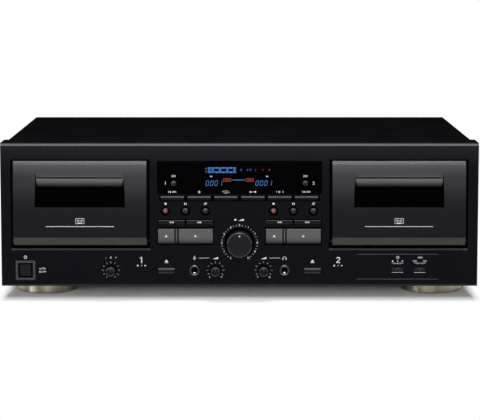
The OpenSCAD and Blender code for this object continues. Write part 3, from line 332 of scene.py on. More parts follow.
MATERIALS = {
    # Panel, lid and doors
    "panel": panel_finish(),
    "panel_top": coat("panel_top", (0.0050, 0.0050, 0.0060), 0.6, level=0.0),
    "panel_bevel": bevel_finish(),
    # painted highlight on the panel's lower bevel
    "panel_lip": coat("panel_lip", (0.013, 0.013, 0.014), 0.3, level=0.05),
    # painted highlight on the sill under each door
    "sill": coat("door_sill", (0.036, 0.036, 0.039), 0.3, level=0.1),
    "bezel": grained("power_bezel", (0.028, 0.028, 0.030), 0.35, level=0.2, grain=0.3, depth=0.003),
    # painted shade: near-black for gaps, recesses and hidden sides that lie in shadow
    "painted_shade": grained("shadow_gap", (0.0004, 0.0004, 0.0005), 0.8, level=0.0, grain=0.5, depth=0.003),
    "cover": grained("cover_paint", (0.0040, 0.0039, 0.0047), 0.6, level=0.0, grain=0.7, tint=0.25,
                     depth=0.03),
    "door": door_finish(),
    # painted highlight on door edges and on the eject keys' upper bevels
    "door_edge": satin("door_edge", (0.042, 0.042, 0.045), 0.25, level=0.16),
    "lens": lens_finish(),
    "window": glassy("smoked_window", (0.0003, 0.0003, 0.0006), 0.10, level=0.01),
    # Keys and knobs
    "key": key_finish(),
    "bar_key": satin("key_bar", (0.0022, 0.0021, 0.0034), 0.26, level=0.08),
    "strip_key": strip_finish(),
    # painted highlight on key bevels
    "key_edge": satin("key_edge", (0.020, 0.020, 0.023), 0.26, level=0.12),
    "mid_key": satin("key_mid", (0.0034, 0.0033, 0.0048), 0.28, level=0.14),
    "dark_key": satin("key_dark", (0.0050, 0.0050, 0.0055), 0.28, level=0.20),
    "knob": moulded("knob_black", (0.0046, 0.0044, 0.0070), 0.32, level=0.085),
    "small_knob": moulded("knob_small", (0.0030, 0.0030, 0.0036), 0.32, level=0.06),
    # painted highlights on the upper rims of knobs and round keys, and on the lower rims of knobs
    "knob_rim": satin("knob_rim", (0.034, 0.034, 0.037), 0.28, level=0.2),
    "knob_low": satin("knob_low", (0.030, 0.030, 0.033), 0.28, level=0.25),
    "red": satin("red_cap", (0.25, 0.020, 0.032), 0.35, level=0.4, tint=0.1),
    # Case, sockets and tape drive
    "foot": streaked("champagne_foot", (0.22, 0.197, 0.145), (0.36, 0.33, 0.26), 0.24),
    "screw": grained("black_zinc", (0.05, 0.05, 0.055), 0.38, metal=0.8, grain=0.3),
    "steel": grained("zinc_sheet", (0.42, 0.43, 0.45), 0.36, metal=1.0, grain=6, depth=0.004),
    "rear": grained("rear_paint", (0.016, 0.016, 0.017), 0.5, level=0.3, grain=0.6, tint=0.2,
                    depth=0.02),
    "holder": grained("holder_black", (0.0020, 0.0020, 0.0024), 0.5, level=0.04, grain=0.5),
    "frame": grained("frame_black", (0.012, 0.012, 0.013), 0.45, level=0.3, grain=0.8),
    # painted shade on the front faces of the transport frames
    "bay": grained("bay_black", (0.0045, 0.0045, 0.0050), 0.6, level=0.03, grain=0.8),
    "head": grained("head_metal", (0.30, 0.30, 0.31), 0.3, metal=1.0, depth=0.004),
    "board": grained("circuit_board", (0.012, 0.075, 0.035), 0.4, grain=1.5, tint=0.3, depth=0.02),
    "socket": grained("socket_black", (0.012, 0.012, 0.013), 0.42, level=0.3),
    "rubber": grained("black_rubber", (0.010, 0.010, 0.010), 0.75, level=0.2, grain=0.6,
                      depth=0.03),
    "motor": grained("motor_can", (0.50, 0.51, 0.53), 0.30, metal=1.0, tint=0.08, depth=0.004),
    "ring": ring_finish(),
    "metal": plated("nickel", (0.55, 0.54, 0.50), 0.25),
    "brass": plated("brass", (0.62, 0.46, 0.18), 0.28, tint=0.08),
    "red_insert": satin("red_insert", (0.45, 0.030, 0.040), 0.4, level=0.4, tint=0.1),
    "white": satin("white_insert", (0.60, 0.59, 0.56), 0.4, level=0.4, tint=0.05),
    # Print and display
    "ink": printed("white_ink", (0.50, 0.50, 0.52), 0.6, tint=0.06),
    "grey_ink": printed("grey_ink", (0.055, 0.055, 0.060), 0.5, tint=0.08),
    "blue_glow": glow("glow_blue", (0.035, 0.19, 0.60)),
    "pale_glow": glow("glow_pale", (0.10, 0.25, 0.60)),
    "red_glow": glow("glow_red", (0.36, 0.035, 0.035)),
    "white_glow": glow("glow_white", (0.50, 0.62, 0.80)),
}

# The CAD nodes that each finish covers, without the deck's number
FINISHED_NODES = {
    "panel": "front_panel", "cover": "top_cover", "steel": "chassis", "foot": "feet",
    "screw": "case_screws", "window": "display_window", "board": "control_board main_board",
    "socket": "audio_sockets supply_hub takeup_hub", "rubber": "cord_gland drive_belts",
    "frame": "transport_frames", "motor": "motors", "metal": "capstan", "brass": "motor_pulley",
    "head": "head_carriage", "door": "door", "lens": "door_window", "holder": "cassette_holder",
    "knob": "power_button rec_level_knob",
    "small_knob": "pitch_knob mic_level_knob phones_level_knob",
    "key": "stop_button play_button", "bar_key": "rewind_button forward_button",
    "mid_key": "eject_button",
    "strip_key": "zero_button dimmer_button repeat_button parallel_button dubbing_button",
    "dark_key": "timer_switch noise_switch record_button pause_button mute_button counter_button",
}
NODE_FINISH = {node: finish for finish, nodes in FINISHED_NODES.items() for node in nodes.split()}


def node_finish(node):
    """Finish of a CAD node, the same for both decks."""
    return NODE_FINISH.get(node) or NODE_FINISH[node.rsplit("_", 1)[0]]


def finish_nodes():
    for name, obj in frame["nodes"].items():
        obj.data.materials.clear()
        obj.data.materials.append(MATERIALS[node_finish(name)].material)


def paint(obj, finish, where):
    """Gives another finish to the faces of an object that where(middle in mm, normal) picks."""
    data = obj.data
    data.materials.append(MATERIALS[finish].material)
    for polygon in data.polygons:
        if where(polygon.center / MM, polygon.normal):
            polygon.material_index = len(data.materials) - 1


def frontal(n):
    """Whether a face with this normal looks to the front, upright or tilted."""
    return n.y < FRONTWARD


def paint_panel():
    """Panel edges with painted highlights on its lower lip and door sills, painted shade on the
    walls and floors of its openings and recesses, and the power bezel.
    """
    panel = frame["nodes"]["front_panel"]
    lo, hi = box_mm("front_panel")
    rim = 4                                # the outer edges lie within this of the outline
    floor = (FACE + FIELD_D + 0.05, FACE + 1.8)    # depths between which recess floors lie
    sill = DOOR_LOW - DOOR_DROP

    def inside(c):
        return lo.x + rim < c.x < hi.x - rim and lo.z + rim < c.z < hi.z - rim

    paint(panel, "panel_top", lambda c, n: n.z > SQUARE and c.z > hi.z - 1)
    paint(panel, "panel_bevel", lambda c, n: frontal(n) and 0.3 < n.z < SQUARE and c.z > hi.z - rim)
    # painted highlight on the lower bevel
    paint(panel, "panel_lip", lambda c, n: frontal(n) and n.z < -0.3 and c.z < lo.z + rim)
    paint(panel, "bezel", lambda c, n: n.y < -SQUARE and c.y < FACE - BEZEL_PROUD / 2)
    # painted shade on the walls and floors of openings and recesses
    paint(panel, "painted_shade", lambda c, n: inside(c) and c.y > FACE + 0.05 and abs(n.y) < 0.5)
    paint(panel, "painted_shade", lambda c, n: n.y < -SQUARE and floor[0] < c.y < floor[1])
    # painted highlight on the sill under each door
    paint(panel, "sill", lambda c, n: frontal(n) and n.z > 0.5 and sill - 2.5 < c.z < sill + 0.1)


def paint_rear():
    """Rear wall, socket rings and the coloured ends of the line sockets."""
    rear = box_mm("chassis")[1].y
    paint(frame["nodes"]["chassis"], "rear", lambda c, n: c.y > rear - 0.1)
    sockets = frame["nodes"]["audio_sockets"]
    end = box_mm("audio_sockets")[1]
    split = end.x - 22                     # between the two columns of line sockets
    paint(sockets, "ring", lambda c, n: c.y < FACE + 0.5)
    paint(sockets, "metal", lambda c, n: c.y > rear + 2.1 and abs(n.y) < 0.5)
    paint(sockets, "white", lambda c, n: c.y > end.y - 0.1 and c.x < split)
    paint(sockets, "red_insert", lambda c, n: c.y > end.y - 0.1 and c.x > split)


def paint_controls():
    """Painted highlights on bevels and rims, and painted shade on the tops, sides and grooves of
    the keys.
    """
    for node, obj in frame["nodes"].items():
        finish = node_finish(node)
        if finish in ("bar_key", "mid_key", "strip_key"):
            # painted shade on the top faces of these keys
            paint(obj, "painted_shade", lambda c, n: n.z > SQUARE)
        if finish in ("bar_key", "mid_key"):
            upper = "key_edge" if finish == "bar_key" else "door_edge"
            # painted highlights on their upper and lower bevels
            paint(obj, upper, lambda c, n: frontal(n) and n.z > 0.4)
            paint(obj, "key_edge", lambda c, n: frontal(n) and n.z < -0.4)
        elif finish == "key":
            deep = front(node) + 1.5
            # painted shade on the sides and deep faces of the large keys
            paint(obj, "painted_shade", lambda c, n: abs(n.x) > SQUARE or (n.y < -0.5 and c.y > deep))
        elif finish == "dark_key":
            # painted highlight on the upper part of each round key
            paint(obj, "knob_rim", lambda c, n: frontal(n) and n.z > 0.22)
        elif "knob" in node:
            z = mid(node)[1]
            # painted highlights on the upper and lower rims of the knobs
            paint(obj, "knob_rim", lambda c, n: -0.95 < n.y < FRONTWARD and n.z > 0.1 and c.z > z)
            paint(obj, "knob_low", lambda c, n: -0.95 < n.y < FRONTWARD and n.z < -0.1 and c.z < z)


def paint_bays():
    """Painted shade on the pieces behind the doors, so that they show only as black gaps."""
    head_h = 8                             # upward faces this close to the top keep their finish; the rest is painted shade
    # painted shade on the front of the transport frames
    paint(frame["nodes"]["transport_frames"], "bay", lambda c, n: n.y < -0.5)
    for deck in DECKS:
        holder = frame["nodes"][f"cassette_holder_{deck}"]
        # painted shade on the holder's front and underside
        paint(holder, "painted_shade", lambda c, n: c.y < FACE + 0.1 or n.z < -0.5)
        node = f"head_carriage_{deck}"
        top = box_mm(node)[1].z
        # painted shade on all of the head but its top
        paint(frame["nodes"][node], "painted_shade", lambda c, n: n.z < 0.5 or c.z < top - head_h)


# Door and lens, smoothly curved

def smoothed(node, body, finish):
    """Stands for a CAD node and shades its faceted curves smooth."""
    mesh = bmesh.new()
    mesh.from_mesh(frame["nodes"][node].data)
    bmesh.ops.remove_doubles(mesh, verts=mesh.verts, dist=0.001 * MM)
    for face in mesh.faces:
        face.smooth = True
    for edge in mesh.edges:
        edge.smooth = edge.calc_face_angle(0) < SMOOTH_ANGLE
    obj = piece(node + "_shell", mesh, body, finish)
    if "custom_normal" in obj.data.attributes:
        obj.data.attributes.remove(obj.data.attributes["custom_normal"])
    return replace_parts(obj, node)


def dress_doors():
    """Doors with painted highlights on their edges, and lenses whose top and ends get painted shade
    as in the dark of the recess.
    """
    for deck in DECKS:
        body = f"door_{deck}"
        door = smoothed(body, body, "door")
        # painted highlight on the door's top edge and on slightly downward facets
        paint(door, "door_edge", lambda c, n: frontal(n) and (n.z > 0.6 or -0.3 < n.z < -0.15))
        lens = smoothed(f"door_window_{deck}", body, "lens")
        # painted shade on the lens's top and ends
        paint(lens, "painted_shade", lambda c, n: n.z > 0.42 or abs(n.x) > 0.3)


# Flat marks

class Marks:
    """Flat printed or lit shapes on one upright surface that faces the front."""

    def __init__(self, y):
        self.mesh = bmesh.new()
        self.y = y - PRINT

    def shape(self, points):
        verts = [self.mesh.verts.new((x * MM, self.y * MM, z * MM)) for x, z in points]
        self.mesh.faces.new(verts)

    def bar(self, x, z, w, h):
        a, b = w / 2, h / 2
        self.shape([(x - a, z - b), (x + a, z - b), (x + a, z + b), (x - a, z + b)])

    def line(self, x0, z0, x1, z1, w):
        run = Vector((x1 - x0, z1 - z0))
        side = Vector((-run.y, run.x)).normalized() * w / 2
        self.shape([(x0 - side.x, z0 - side.y), (x1 - side.x, z1 - side.y),
                    (x1 + side.x, z1 + side.y), (x0 + side.x, z0 + side.y)])

    def ray(self, x, z, turn, near, far, w):
        """Stroke between two distances from a middle, at an angle in radians from the right."""
        c, s = math.cos(turn), math.sin(turn)
        self.line(x + near * c, z + near * s, x + far * c, z + far * s, w)

    def disc(self, x, z, r, n=20):
        turns = [2 * math.pi * i / n for i in range(n)]
        self.shape([(x + r * math.cos(t), z + r * math.sin(t)) for t in turns])

    def arc(self, x, z, r, w, start=0, stop=360, n=24):
        """Stroke of width w along a circle, angles in degrees anticlockwise from the right."""
        turns = [math.radians(start + (stop - start) * i / n) for i in range(n + 1)]
        near, far = r - w / 2, r + w / 2
        for a, b in zip(turns, turns[1:]):
            corners = ((near, a), (far, a), (far, b), (near, b))
            self.shape([(x + q * math.cos(t), z + q * math.sin(t)) for q, t in corners])

    def frame(self, x, z, w, h, line):
        self.bar(x, z + (h - line) / 2, w, line)
        self.bar(x, z - (h - line) / 2, w, line)
        for side in (-1, 1):
            self.bar(x + side * (w - line) / 2, z, line, h - 2 * line)

    def arrow(self, x, z, w, h, turn=1):
        """Solid triangle that points right, or left with turn -1."""
        tip, back = x + turn * w / 2, x - turn * w / 2
        points = [(back, z - h / 2), (tip, z), (back, z + h / 2)]
        self.shape(points if turn > 0 else points[::-1])

    def word(self, text, x, z, height, bold=0.0):
        """Plain figures or letters, centred, with capitals of the given height."""
        capital = 0.7                      # height of a capital as a share of the font's size
        curve = bpy.data.curves.new("figures", "FONT")
        curve.body, curve.size, curve.offset = text, height / capital * MM, bold * MM
        curve.align_x, curve.align_y = "CENTER", "CENTER"
        holder = bpy.data.objects.new("figures", curve)
        flat = bpy.data.meshes.new_from_object(holder)
        spots = [self.mesh.verts.new((v.co.x + x * MM, self.y * MM, v.co.y + z * MM))
                 for v in flat.vertices]
        for polygon in flat.polygons:
            self.mesh.faces.new([spots[i] for i in polygon.vertices])
        bpy.data.objects.remove(holder)
        bpy.data.curves.remove(curve)
        bpy.data.meshes.remove(flat)

    def done(self, name, body, finish):
        piece(name, self.mesh, body, finish)


def piece(name, mesh, body, finish):
    """Makes an object of a bmesh, with its finish, that moves with a body."""
    data = bpy.data.meshes.new(name)
    mesh.to_mesh(data)
    mesh.free()
    data.materials.append(MATERIALS[finish].material)
    obj = bpy.data.objects.new(name, data)
    bpy.context.scene.collection.objects.link(obj)
    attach(obj, body)
    return obj


def turned(x, z, profile, steps=32):
    """Mesh turned about a front-to-back axis from pairs of radius and place along that axis."""
    mesh = bmesh.new()
    turns = [2 * math.pi * i / steps for i in range(steps)]
    rings = []
    for r, y in profile:
        spots = [((x + r * math.cos(t)) * MM, y * MM, (z + r * math.sin(t)) * MM) for t in turns]
        rings.append([mesh.verts.new(p) for p in spots])
    for a, b in zip(rings, rings[1:]):
        for i in range(steps):
            j = (i + 1) % steps
            mesh.faces.new((a[i], b[i], b[j], a[j])).smooth = True
    mesh.faces.new(rings[0][::-1])
    return mesh


def jack_contacts():
    """Sprung contact with a rolled end in the mouth of each plug socket."""
    half_w, roll, back = 0.75, 0.7, FACE + 8
    y, z = FACE + 1.6, ROW - 2.8           # middle of the roll
    turns = [math.radians(15 * i) for i in range(-1, 8)]
    spots = [(y - roll * math.cos(t), z + roll * math.sin(t)) for t in turns] + [(back, z)]
    mesh = bmesh.new()
    for x in (-JACK_X, JACK_X):
        rows = [[mesh.verts.new(((x + side) * MM, b * MM, c * MM)) for side in (-half_w, half_w)]
                for b, c in spots]
        for low, high in zip(rows, rows[1:]):
            mesh.faces.new((*low, *high[::-1])).smooth = True
    piece("jack_contacts", mesh, "case", "metal")


# Pictograms, each about a middle

def power_sign(m, x, z, r):
    stroke = 0.45
    m.arc(x, z, r, stroke, 125, 415)
    m.bar(x, z + r * 0.75, stroke, r * 1.1)


def level_sign(m, x, z):
    w, h = 5.0, 1.9
    m.shape([(x - w / 2, z - h / 2), (x + w / 2, z - h / 2), (x + w / 2, z + h / 2)])


def microphone_sign(m, x, z):
    r, stroke = 0.55, 0.3
    m.bar(x, z + 0.7, 2 * r, 1.5)
    m.disc(x, z + 1.4, r)
    m.disc(x, z, r)
    m.arc(x, z + 0.2, 1.15, stroke, 180, 360, 12)
    m.bar(x, z - 1.2, stroke, 0.7)
    m.bar(x, z - 1.6, 1.4, stroke)


def headphones_sign(m, x, z):
    m.arc(x, z - 0.4, 1.6, 0.35, 0, 180, 14)
    for side in (-1, 1):
        m.bar(x + side * 1.5, z - 0.9, 0.85, 1.5)


def record_sign(m, x, z):
    m.disc(x, z, 1.0)


def pause_sign(m, x, z):
    for side in (-1, 1):
        m.bar(x + side * 0.7, z, 0.65, 1.9)


def mute_sign(m, x, z):
    stroke = 0.35
    m.arc(x, z, 0.95, stroke)
    m.line(x - 1.3, z - 1.1, x + 1.3, z + 1.1, stroke)


def eject_sign(m, x, z):
    half_w = 1.6
    m.shape([(x - half_w, z), (x + half_w, z), (x, z + 2.0)])
    m.bar(x, z - 0.8, 2 * half_w, 0.6)


def zero_sign(m, x, z):
    h = 1.7
    m.arrow(x - 2.3, z, 1.9, h, -1)
    m.bar(x - 3.6, z, 0.4, h)
    m.word("000", x + 1.6, z, h)


def dimmer_sign(m, x, z):
    m.disc(x, z, 0.6)
    for i in range(8):
        m.ray(x, z, math.pi / 4 * i, 0.9, 1.4, 0.28)


def repeat_sign(m, x, z):
    r, half_w, stroke = 0.85, 2.2, 0.3
    m.bar(x, z + r, 2 * half_w, stroke)
    m.bar(x, z - r, 2 * half_w, stroke)
    m.arc(x - half_w, z, r, stroke, 90, 200, 8)
    m.arc(x + half_w, z, r, stroke, -90, 20, 8)
    m.arrow(x + 0.6, z + r, 1.3, 1.5)
    m.arrow(x - 0.6, z - r, 1.3, 1.5, -1)


def pair_sign(m, x, z):
    for side in (-1, 1):
        m.disc(x + side * 2.2, z, 0.8)
    m.bar(x, z, 2.0, 0.3)


def copy_sign(m, x, z):
    apart, h = 2.8, 1.8
    m.word("1", x - apart, z, h)
    m.arrow(x, z, 1.9, 1.7)
    m.word("2", x + apart, z, h)


def clock_sign(m, x, z):
    m.arc(x, z, 1.2, 0.3)
    m.bar(x, z + 0.45, 0.28, 0.9)
    m.bar(x + 0.35, z, 0.8, 0.28)


def wave_sign(m, x, z):
    for i, h in enumerate((0.6, 1.3, 2.0, 1.3, 2.3, 0.9, 1.5)):
        m.bar(x + (i - 3) * 0.75, z, 0.3, h)


def cassette_sign(m, x, z):
    stroke, hub_z = 0.35, z + 0.3
    m.frame(x, z, 8.0, 5.0, stroke)
    for side in (-1, 1):
        m.arc(x + side * 1.7, hub_z, 0.75, stroke)
    m.bar(x, hub_z, 1.6, 0.3)
    m.shape([(x - 2.2, z - 2.3), (x + 2.2, z - 2.3), (x + 1.8, z - 1.4), (x - 1.8, z - 1.4)])


def figure_one(m, x, z, h):
    """Figure 1 with a flag."""
    half_w, flag_x, flag_z = 0.075 * h, x - 0.3 * h, z + 0.32 * h
    m.bar(x, z, 2 * half_w, h)
    m.shape([(x - half_w, z + h / 2), (flag_x, flag_z), (flag_x, z + 0.2 * h),
             (x - half_w, flag_z)])


def figure_two(m, x, z, h):
    """Figure 2 with a round top and a flat foot."""
    w, r, last = 0.13 * h, 0.25 * h, -35
    top, end = z + h / 2 - w / 2 - r, math.radians(last)
    m.arc(x, top, r, w, 170, last)
    m.line(x + r * math.cos(end), top + r * math.sin(end), x - r, z - h / 2 + w, w)
    m.bar(x, z - h / 2 + w / 2, 2 * r + w, w)


# Panel print

DIAL_TICK = 0.23     # stroke of the dial ticks


def small_dial(m, knob, span, steps):
    """Ticks round a small knob, over span degrees to each side of its top."""
    near, length = 6.6, 1.5
    x, z = mid(knob)
    for i in range(steps + 1):
        turn = math.radians(90 + span - 2 * span * i / steps)
        m.ray(x, z, turn, near, near + length, DIAL_TICK)


def level_dial(m, x, z):
    """Figures 0 to 10 round the record level knob, with two short strokes between them."""
    radius, half_tick = 16.2, 0.7
    for i in range(31):
        turn = math.radians(240 - 10 * i)
        if i % 3:
            m.ray(x, z, turn, radius - half_tick, radius + half_tick, DIAL_TICK)
        else:
            figure = str(i // 3)
            m.word(figure, x + radius * math.cos(turn), z + radius * math.sin(turn), 1.8, 0.06)


def switch_scale(m, x, ticks):
    """Scale over a slide switch and a line under it."""
    w, stroke = 10.6, 0.25
    m.bar(x, ROW + 6.4, w, stroke)
    for place in ticks:
        m.bar(x + place, ROW + 5.8, stroke, 1.1)
    m.bar(x, ROW - 2.2, w, stroke)


def print_deck_signs(m, deck, figure):
    """Deck figure over its record and play signs, and the signs over the deck's small keys."""
    x, sign_z = DECK_SIGN_X[deck], ROW + 4.2
    figure(m, x, ROW + 9.4, 5.6)
    m.disc(x - 3.6, sign_z, 0.75)
    m.line(x - 0.6, sign_z - 0.8, x + 0.4, sign_z + 0.8, 0.3)
    m.arrow(x + 3.4, sign_z, 1.5, 1.5)
    signs = {"record": (record_sign, 6.6), "pause": (pause_sign, 6.6), "mute": (mute_sign, 6.6),
             "eject": (eject_sign, 8.2)}
    for key, (sign, rise) in signs.items():
        key_x, key_z = mid(f"{key}_button_{deck}")
        sign(m, key_x, key_z + rise)


def print_level_signs(m):
    """Dials and signs of the four knobs and the two plug sockets."""
    x, z = mid("rec_level_knob")
    sign_z = z + 21.3
    level_dial(m, x, z)
    m.disc(x - 3.8, sign_z, 0.95)
    level_sign(m, x + 1.4, sign_z)
    for knob, side in (("mic_level_knob", -1), ("phones_level_knob", 1)):
        x = mid(knob)[0]
        small_dial(m, knob, 120, 8)
        level_sign(m, x, LABEL_Z)
        for figure, place in (("0", -5.3), ("10", 5.3)):
            m.word(figure, x + place, ROW - 6.5, 1.5)
        m.bar(x + side * 10.3, LABEL_Z, 9.6, 0.3)
    microphone_sign(m, -JACK_X, LABEL_Z)
    headphones_sign(m, JACK_X, LABEL_Z)
    x = mid("pitch_knob")[0]
    small_dial(m, "pitch_knob", 150, 10)
    for place, sign in ((-4.6, "-"), (0, "0"), (4.6, "+")):
        m.word(sign, x + place, LABEL_Z + 0.3, 2.0)


def print_power_signs(m):
    """Power sign over the button, and ON and OFF beside a pressed and a raised key."""
    x = mid("power_button")[0]
    key_x, key_w, h = x + 13.4, 1.8, 1.6
    power_sign(m, x, LABEL_Z + 0.9, 1.25)
    m.word("ON", x + 16.6, ROW + 1.5, h)
    m.word("OFF", x + 17.0, ROW - 1.5, h)
    m.bar(key_x, ROW + 1.2, key_w, 0.7)
    m.frame(key_x, ROW - 1.5, key_w, 1.4, 0.3)


def print_switch_signs(m):
    """Signs and scales of the two slide switches."""
    sign_z, place_z, aside, h = LABEL_Z + 0.4, ROW + 8.2, 4.6, 1.5
    x = mid("timer_switch")[0]
    clock_sign(m, x, sign_z)
    m.disc(x - aside, place_z, 0.7)
    m.word("0", x, place_z, h)
    m.arrow(x + aside, place_z, h, h)
    switch_scale(m, x, (-2.5, 0, 2.5))
    x = mid("noise_switch")[0]
    wave_sign(m, x, sign_z)
    m.word("OFF", x - aside, place_z, h)
    m.word("ON", x + aside, place_z, h)
    switch_scale(m, x, (-2.5, 2.5))


def print_panel():
    m = Marks(FACE)
    print_deck_signs(m, 1, figure_one)
    print_deck_signs(m, 2, figure_two)
    print_level_signs(m)
    print_power_signs(m)
    m.done("panel_print", "case", "ink")
    m = Marks(FACE + FIELD_D)
    print_switch_signs(m)
    m.done("switch_print", "case", "ink")


def print_wells():
    """Painted shade as black rings round the round keys."""
    past_well, stroke = 0.45, 0.8
    m = Marks(FACE)
    for deck in DECKS:
        for key in ("record", "pause", "mute"):
            node = f"{key}_button_{deck}"
            lo, hi = box_mm(node)
            m.arc(*mid(node), (hi.x - lo.x) / 2 + WELL + past_well, stroke)
    m.done("key_well_shade", "case", "painted_shade")


def print_rules():
    """Grey rules along the field of the slide switches."""
    m = Marks(FACE)
    lo, hi = mid("timer_switch")[0] - 37.3, mid("noise_switch")[0] + 16.7
    for z in (ROW - 8.25, ROW + 14.75):
        m.bar((lo + hi) / 2, z, hi - lo, 0.4)
    m.done("panel_rules", "case", "grey_ink")


def print_window():
    """Signs along the window's lower edge, and the signs at the counter buttons."""
    signs = {"zero_button_1": zero_sign, "dimmer_button": dimmer_sign, "repeat_button": repeat_sign,
             "parallel_button": pair_sign, "dubbing_button": copy_sign, "zero_button_2": zero_sign}
    m = Marks(WINDOW_FACE)
    for key, sign in signs.items():
        sign(m, mid(key)[0], WINDOW_LOW + 2.1)
    for deck, side in zip(DECKS, (-1, 1)):
        x, z = mid(f"counter_button_{deck}")
        m.word("000", x, z + 6.6, 1.8)
        m.word(str(deck), x + side * 7.4, z, 3.0)
    m.done("window_print", "case", "ink")


# Display

def digit(m, x, z, figure):
    """Slanted seven-bar figure, a 0 or a 1."""
    w, h, stroke = 2.3, 4.4, 0.42
    lean, cut = 0.16, 0.2
    lit = {"0": "abcdef", "1": "bc"}[figure]
    strokes = {"a": (-1, 1, 1, 1), "d": (-1, -1, 1, -1), "f": (-1, 0, -1, 1),
               "b": (1, 0, 1, 1), "e": (-1, -1, -1, 0), "c": (1, -1, 1, 0)}
    for name in lit:
        x0, z0, x1, z1 = strokes[name]
        cut_x, cut_z = (cut, 0) if x1 != x0 else (0, cut)
        a = (x0 * w / 2 + cut_x, z0 * h / 2 + cut_z)
        b = (x1 * w / 2 - cut_x, z1 * h / 2 - cut_z)
        m.line(x + a[0] + lean * a[1], z + a[1], x + b[0] + lean * b[1], z + b[1], stroke)


def light_meter(blue, pale, red, z):
    """Level meter of both channels, with the figures of its scale to the right."""
    first, pitch, cells = -27.5, 3.28, "XX-X-X-X"
    for side in (-1, 1):
        pale.bar(-30.5, z + side * 1.35, 0.9, 1.0)
        for i, cell in enumerate(cells):
            x = first + i * pitch
            (blue if cell == "X" else pale).bar(x, z + side * 2.0, 2.8, 1.2)
            if cell == "X":
                blue.bar(x, z + side * 0.75, 2.5, 0.9)
    for marks, figures in ((blue, ((1.6, "8"), (7.2, "4"), (9.9, "0"))),
                           (red, ((14.6, "2"), (21.0, "4"), (27.2, "8")))):
        for x, figure in figures:
            marks.word(figure, x, z + 0.05, 1.9)


def light_display():
    """Meter, counters and status bars that glow on the window."""
    blue, pale, red, white = (Marks(WINDOW_FACE) for _ in range(4))
    meter_z, dot_z, bar_z, count_z = (WINDOW_LOW + rise for rise in (22.15, 16.4, 13.1, 10.2))
    light_meter(blue, pale, red, meter_z)
    for x in (-25.8, 25.0):
        white.bar(x, dot_z, 2.0, 1.0)
    for x in (-11.2, 9.3):
        red.frame(x, bar_z, 7.4, 3.0, 0.6)
        red.bar(x, bar_z, 4.4, 0.8)
    blue.bar(-0.9, bar_z, 11.2, 0.8)
    for start in (-29.2, 16.0):
        for i, figure in enumerate("0001"):
            digit(pale, start + i * 4.0, count_z, figure)
    blue.done("display_blue", "case", "blue_glow")
    pale.done("display_pale", "case", "pale_glow")
    red.done("display_red", "case", "red_glow")
    white.done("display_white", "case", "white_glow")


# Marks on the moving pieces

def skip_arrows(m, x, z, way):
    for i in (-0.5, 0.5):
        m.arrow(x + i * 2.1, z, 2.0, 1.6, way)


def mark_keys():
    """Transport signs on the keys: square, arrow and double arrows."""
    signs = {
        "rewind": lambda m, x, z: skip_arrows(m, x, z, -1),
        "forward": lambda m, x, z: skip_arrows(m, x, z, 1),
        "stop": lambda m, x, z: m.bar(x, z, 1.7, 1.7),
        "play": lambda m, x, z: m.arrow(x + 1.3, z, 2.4, 2.2),
    }
    for deck in DECKS:
        for key, sign in signs.items():
            node = f"{key}_button_{deck}"
            m = Marks(front(node))
            sign(m, *mid(node))
            m.done(f"{key}_mark_{deck}", node, "ink")


def mark_record_buttons():
    """Red cap that follows the domed front of each record button."""
    rise, cap, rings = 0.9, 1.5, 5
    for deck in DECKS:
        node = f"record_button_{deck}"
        lo, hi = box_mm(node)
        r = (hi.x - lo.x) / 2
        ball = (r * r + rise * rise) / (2 * rise)
        radii = [cap * i / rings for i in range(1, rings + 1)]
        profile = [(q, lo.y + ball - math.sqrt(ball * ball - q * q) - PRINT) for q in radii]
        piece(f"record_cap_{deck}", turned(*mid(node), profile), node, "red")


def mark_knobs():
    """Pointers in the dimple of the record level knob and in the slots of the small knobs."""
    dimple_d, slot_d = 0.65, 0.45
    x, z = mid("rec_level_knob")
    m = Marks(front("rec_level_knob") + dimple_d)
    m.disc(x, z + 8.1, 0.78)
    m.done("rec_level_pointer", "rec_level_knob", "ink")
    for knob in ("pitch_knob", "mic_level_knob", "phones_level_knob"):
        x, z = mid(knob)
        m = Marks(front(knob) + slot_d)
        m.bar(x, z + 2.4, 0.7, 3.0)
        m.done(knob.replace("knob", "pointer"), knob, "grey_ink")


def mark_doors():
    """Cassette sign over a rule on each door."""
    for deck in DECKS:
        node = f"door_{deck}"
        x = mid(node)[0]
        m = Marks(front(node))
        cassette_sign(m, x, DOOR_LOW + 22.3)
        m.bar(x, DOOR_LOW + 17.3, 62.0, 0.45)
        m.done(f"door_marks_{deck}", node, "ink")


# Stage, light and camera, in metres

FRONT_MIDDLE = (0, -0.13, 0.1)
LEFT_FOOT = (-0.16, -0.1, 0.01)
LAMPS = {    # place, target, size and watts
    "front": ((0, -2.4, 0.89), FRONT_MIDDLE, (1.2, 1.6), 25.7),
    "key": ((0, -1.62, 1.42), FRONT_MIDDLE, (1.0, 0.53), 21.3),
    "overhead": ((0, -0.28, 1.53), FRONT_MIDDLE, (1.1, 0.42), 14.8),
    "left": ((-1.5, -1.0, 0.25), LEFT_FOOT, (0.35, 0.5), 8.0),
}
AMBIENT = 0.1        # strength of the world's light on rough surfaces


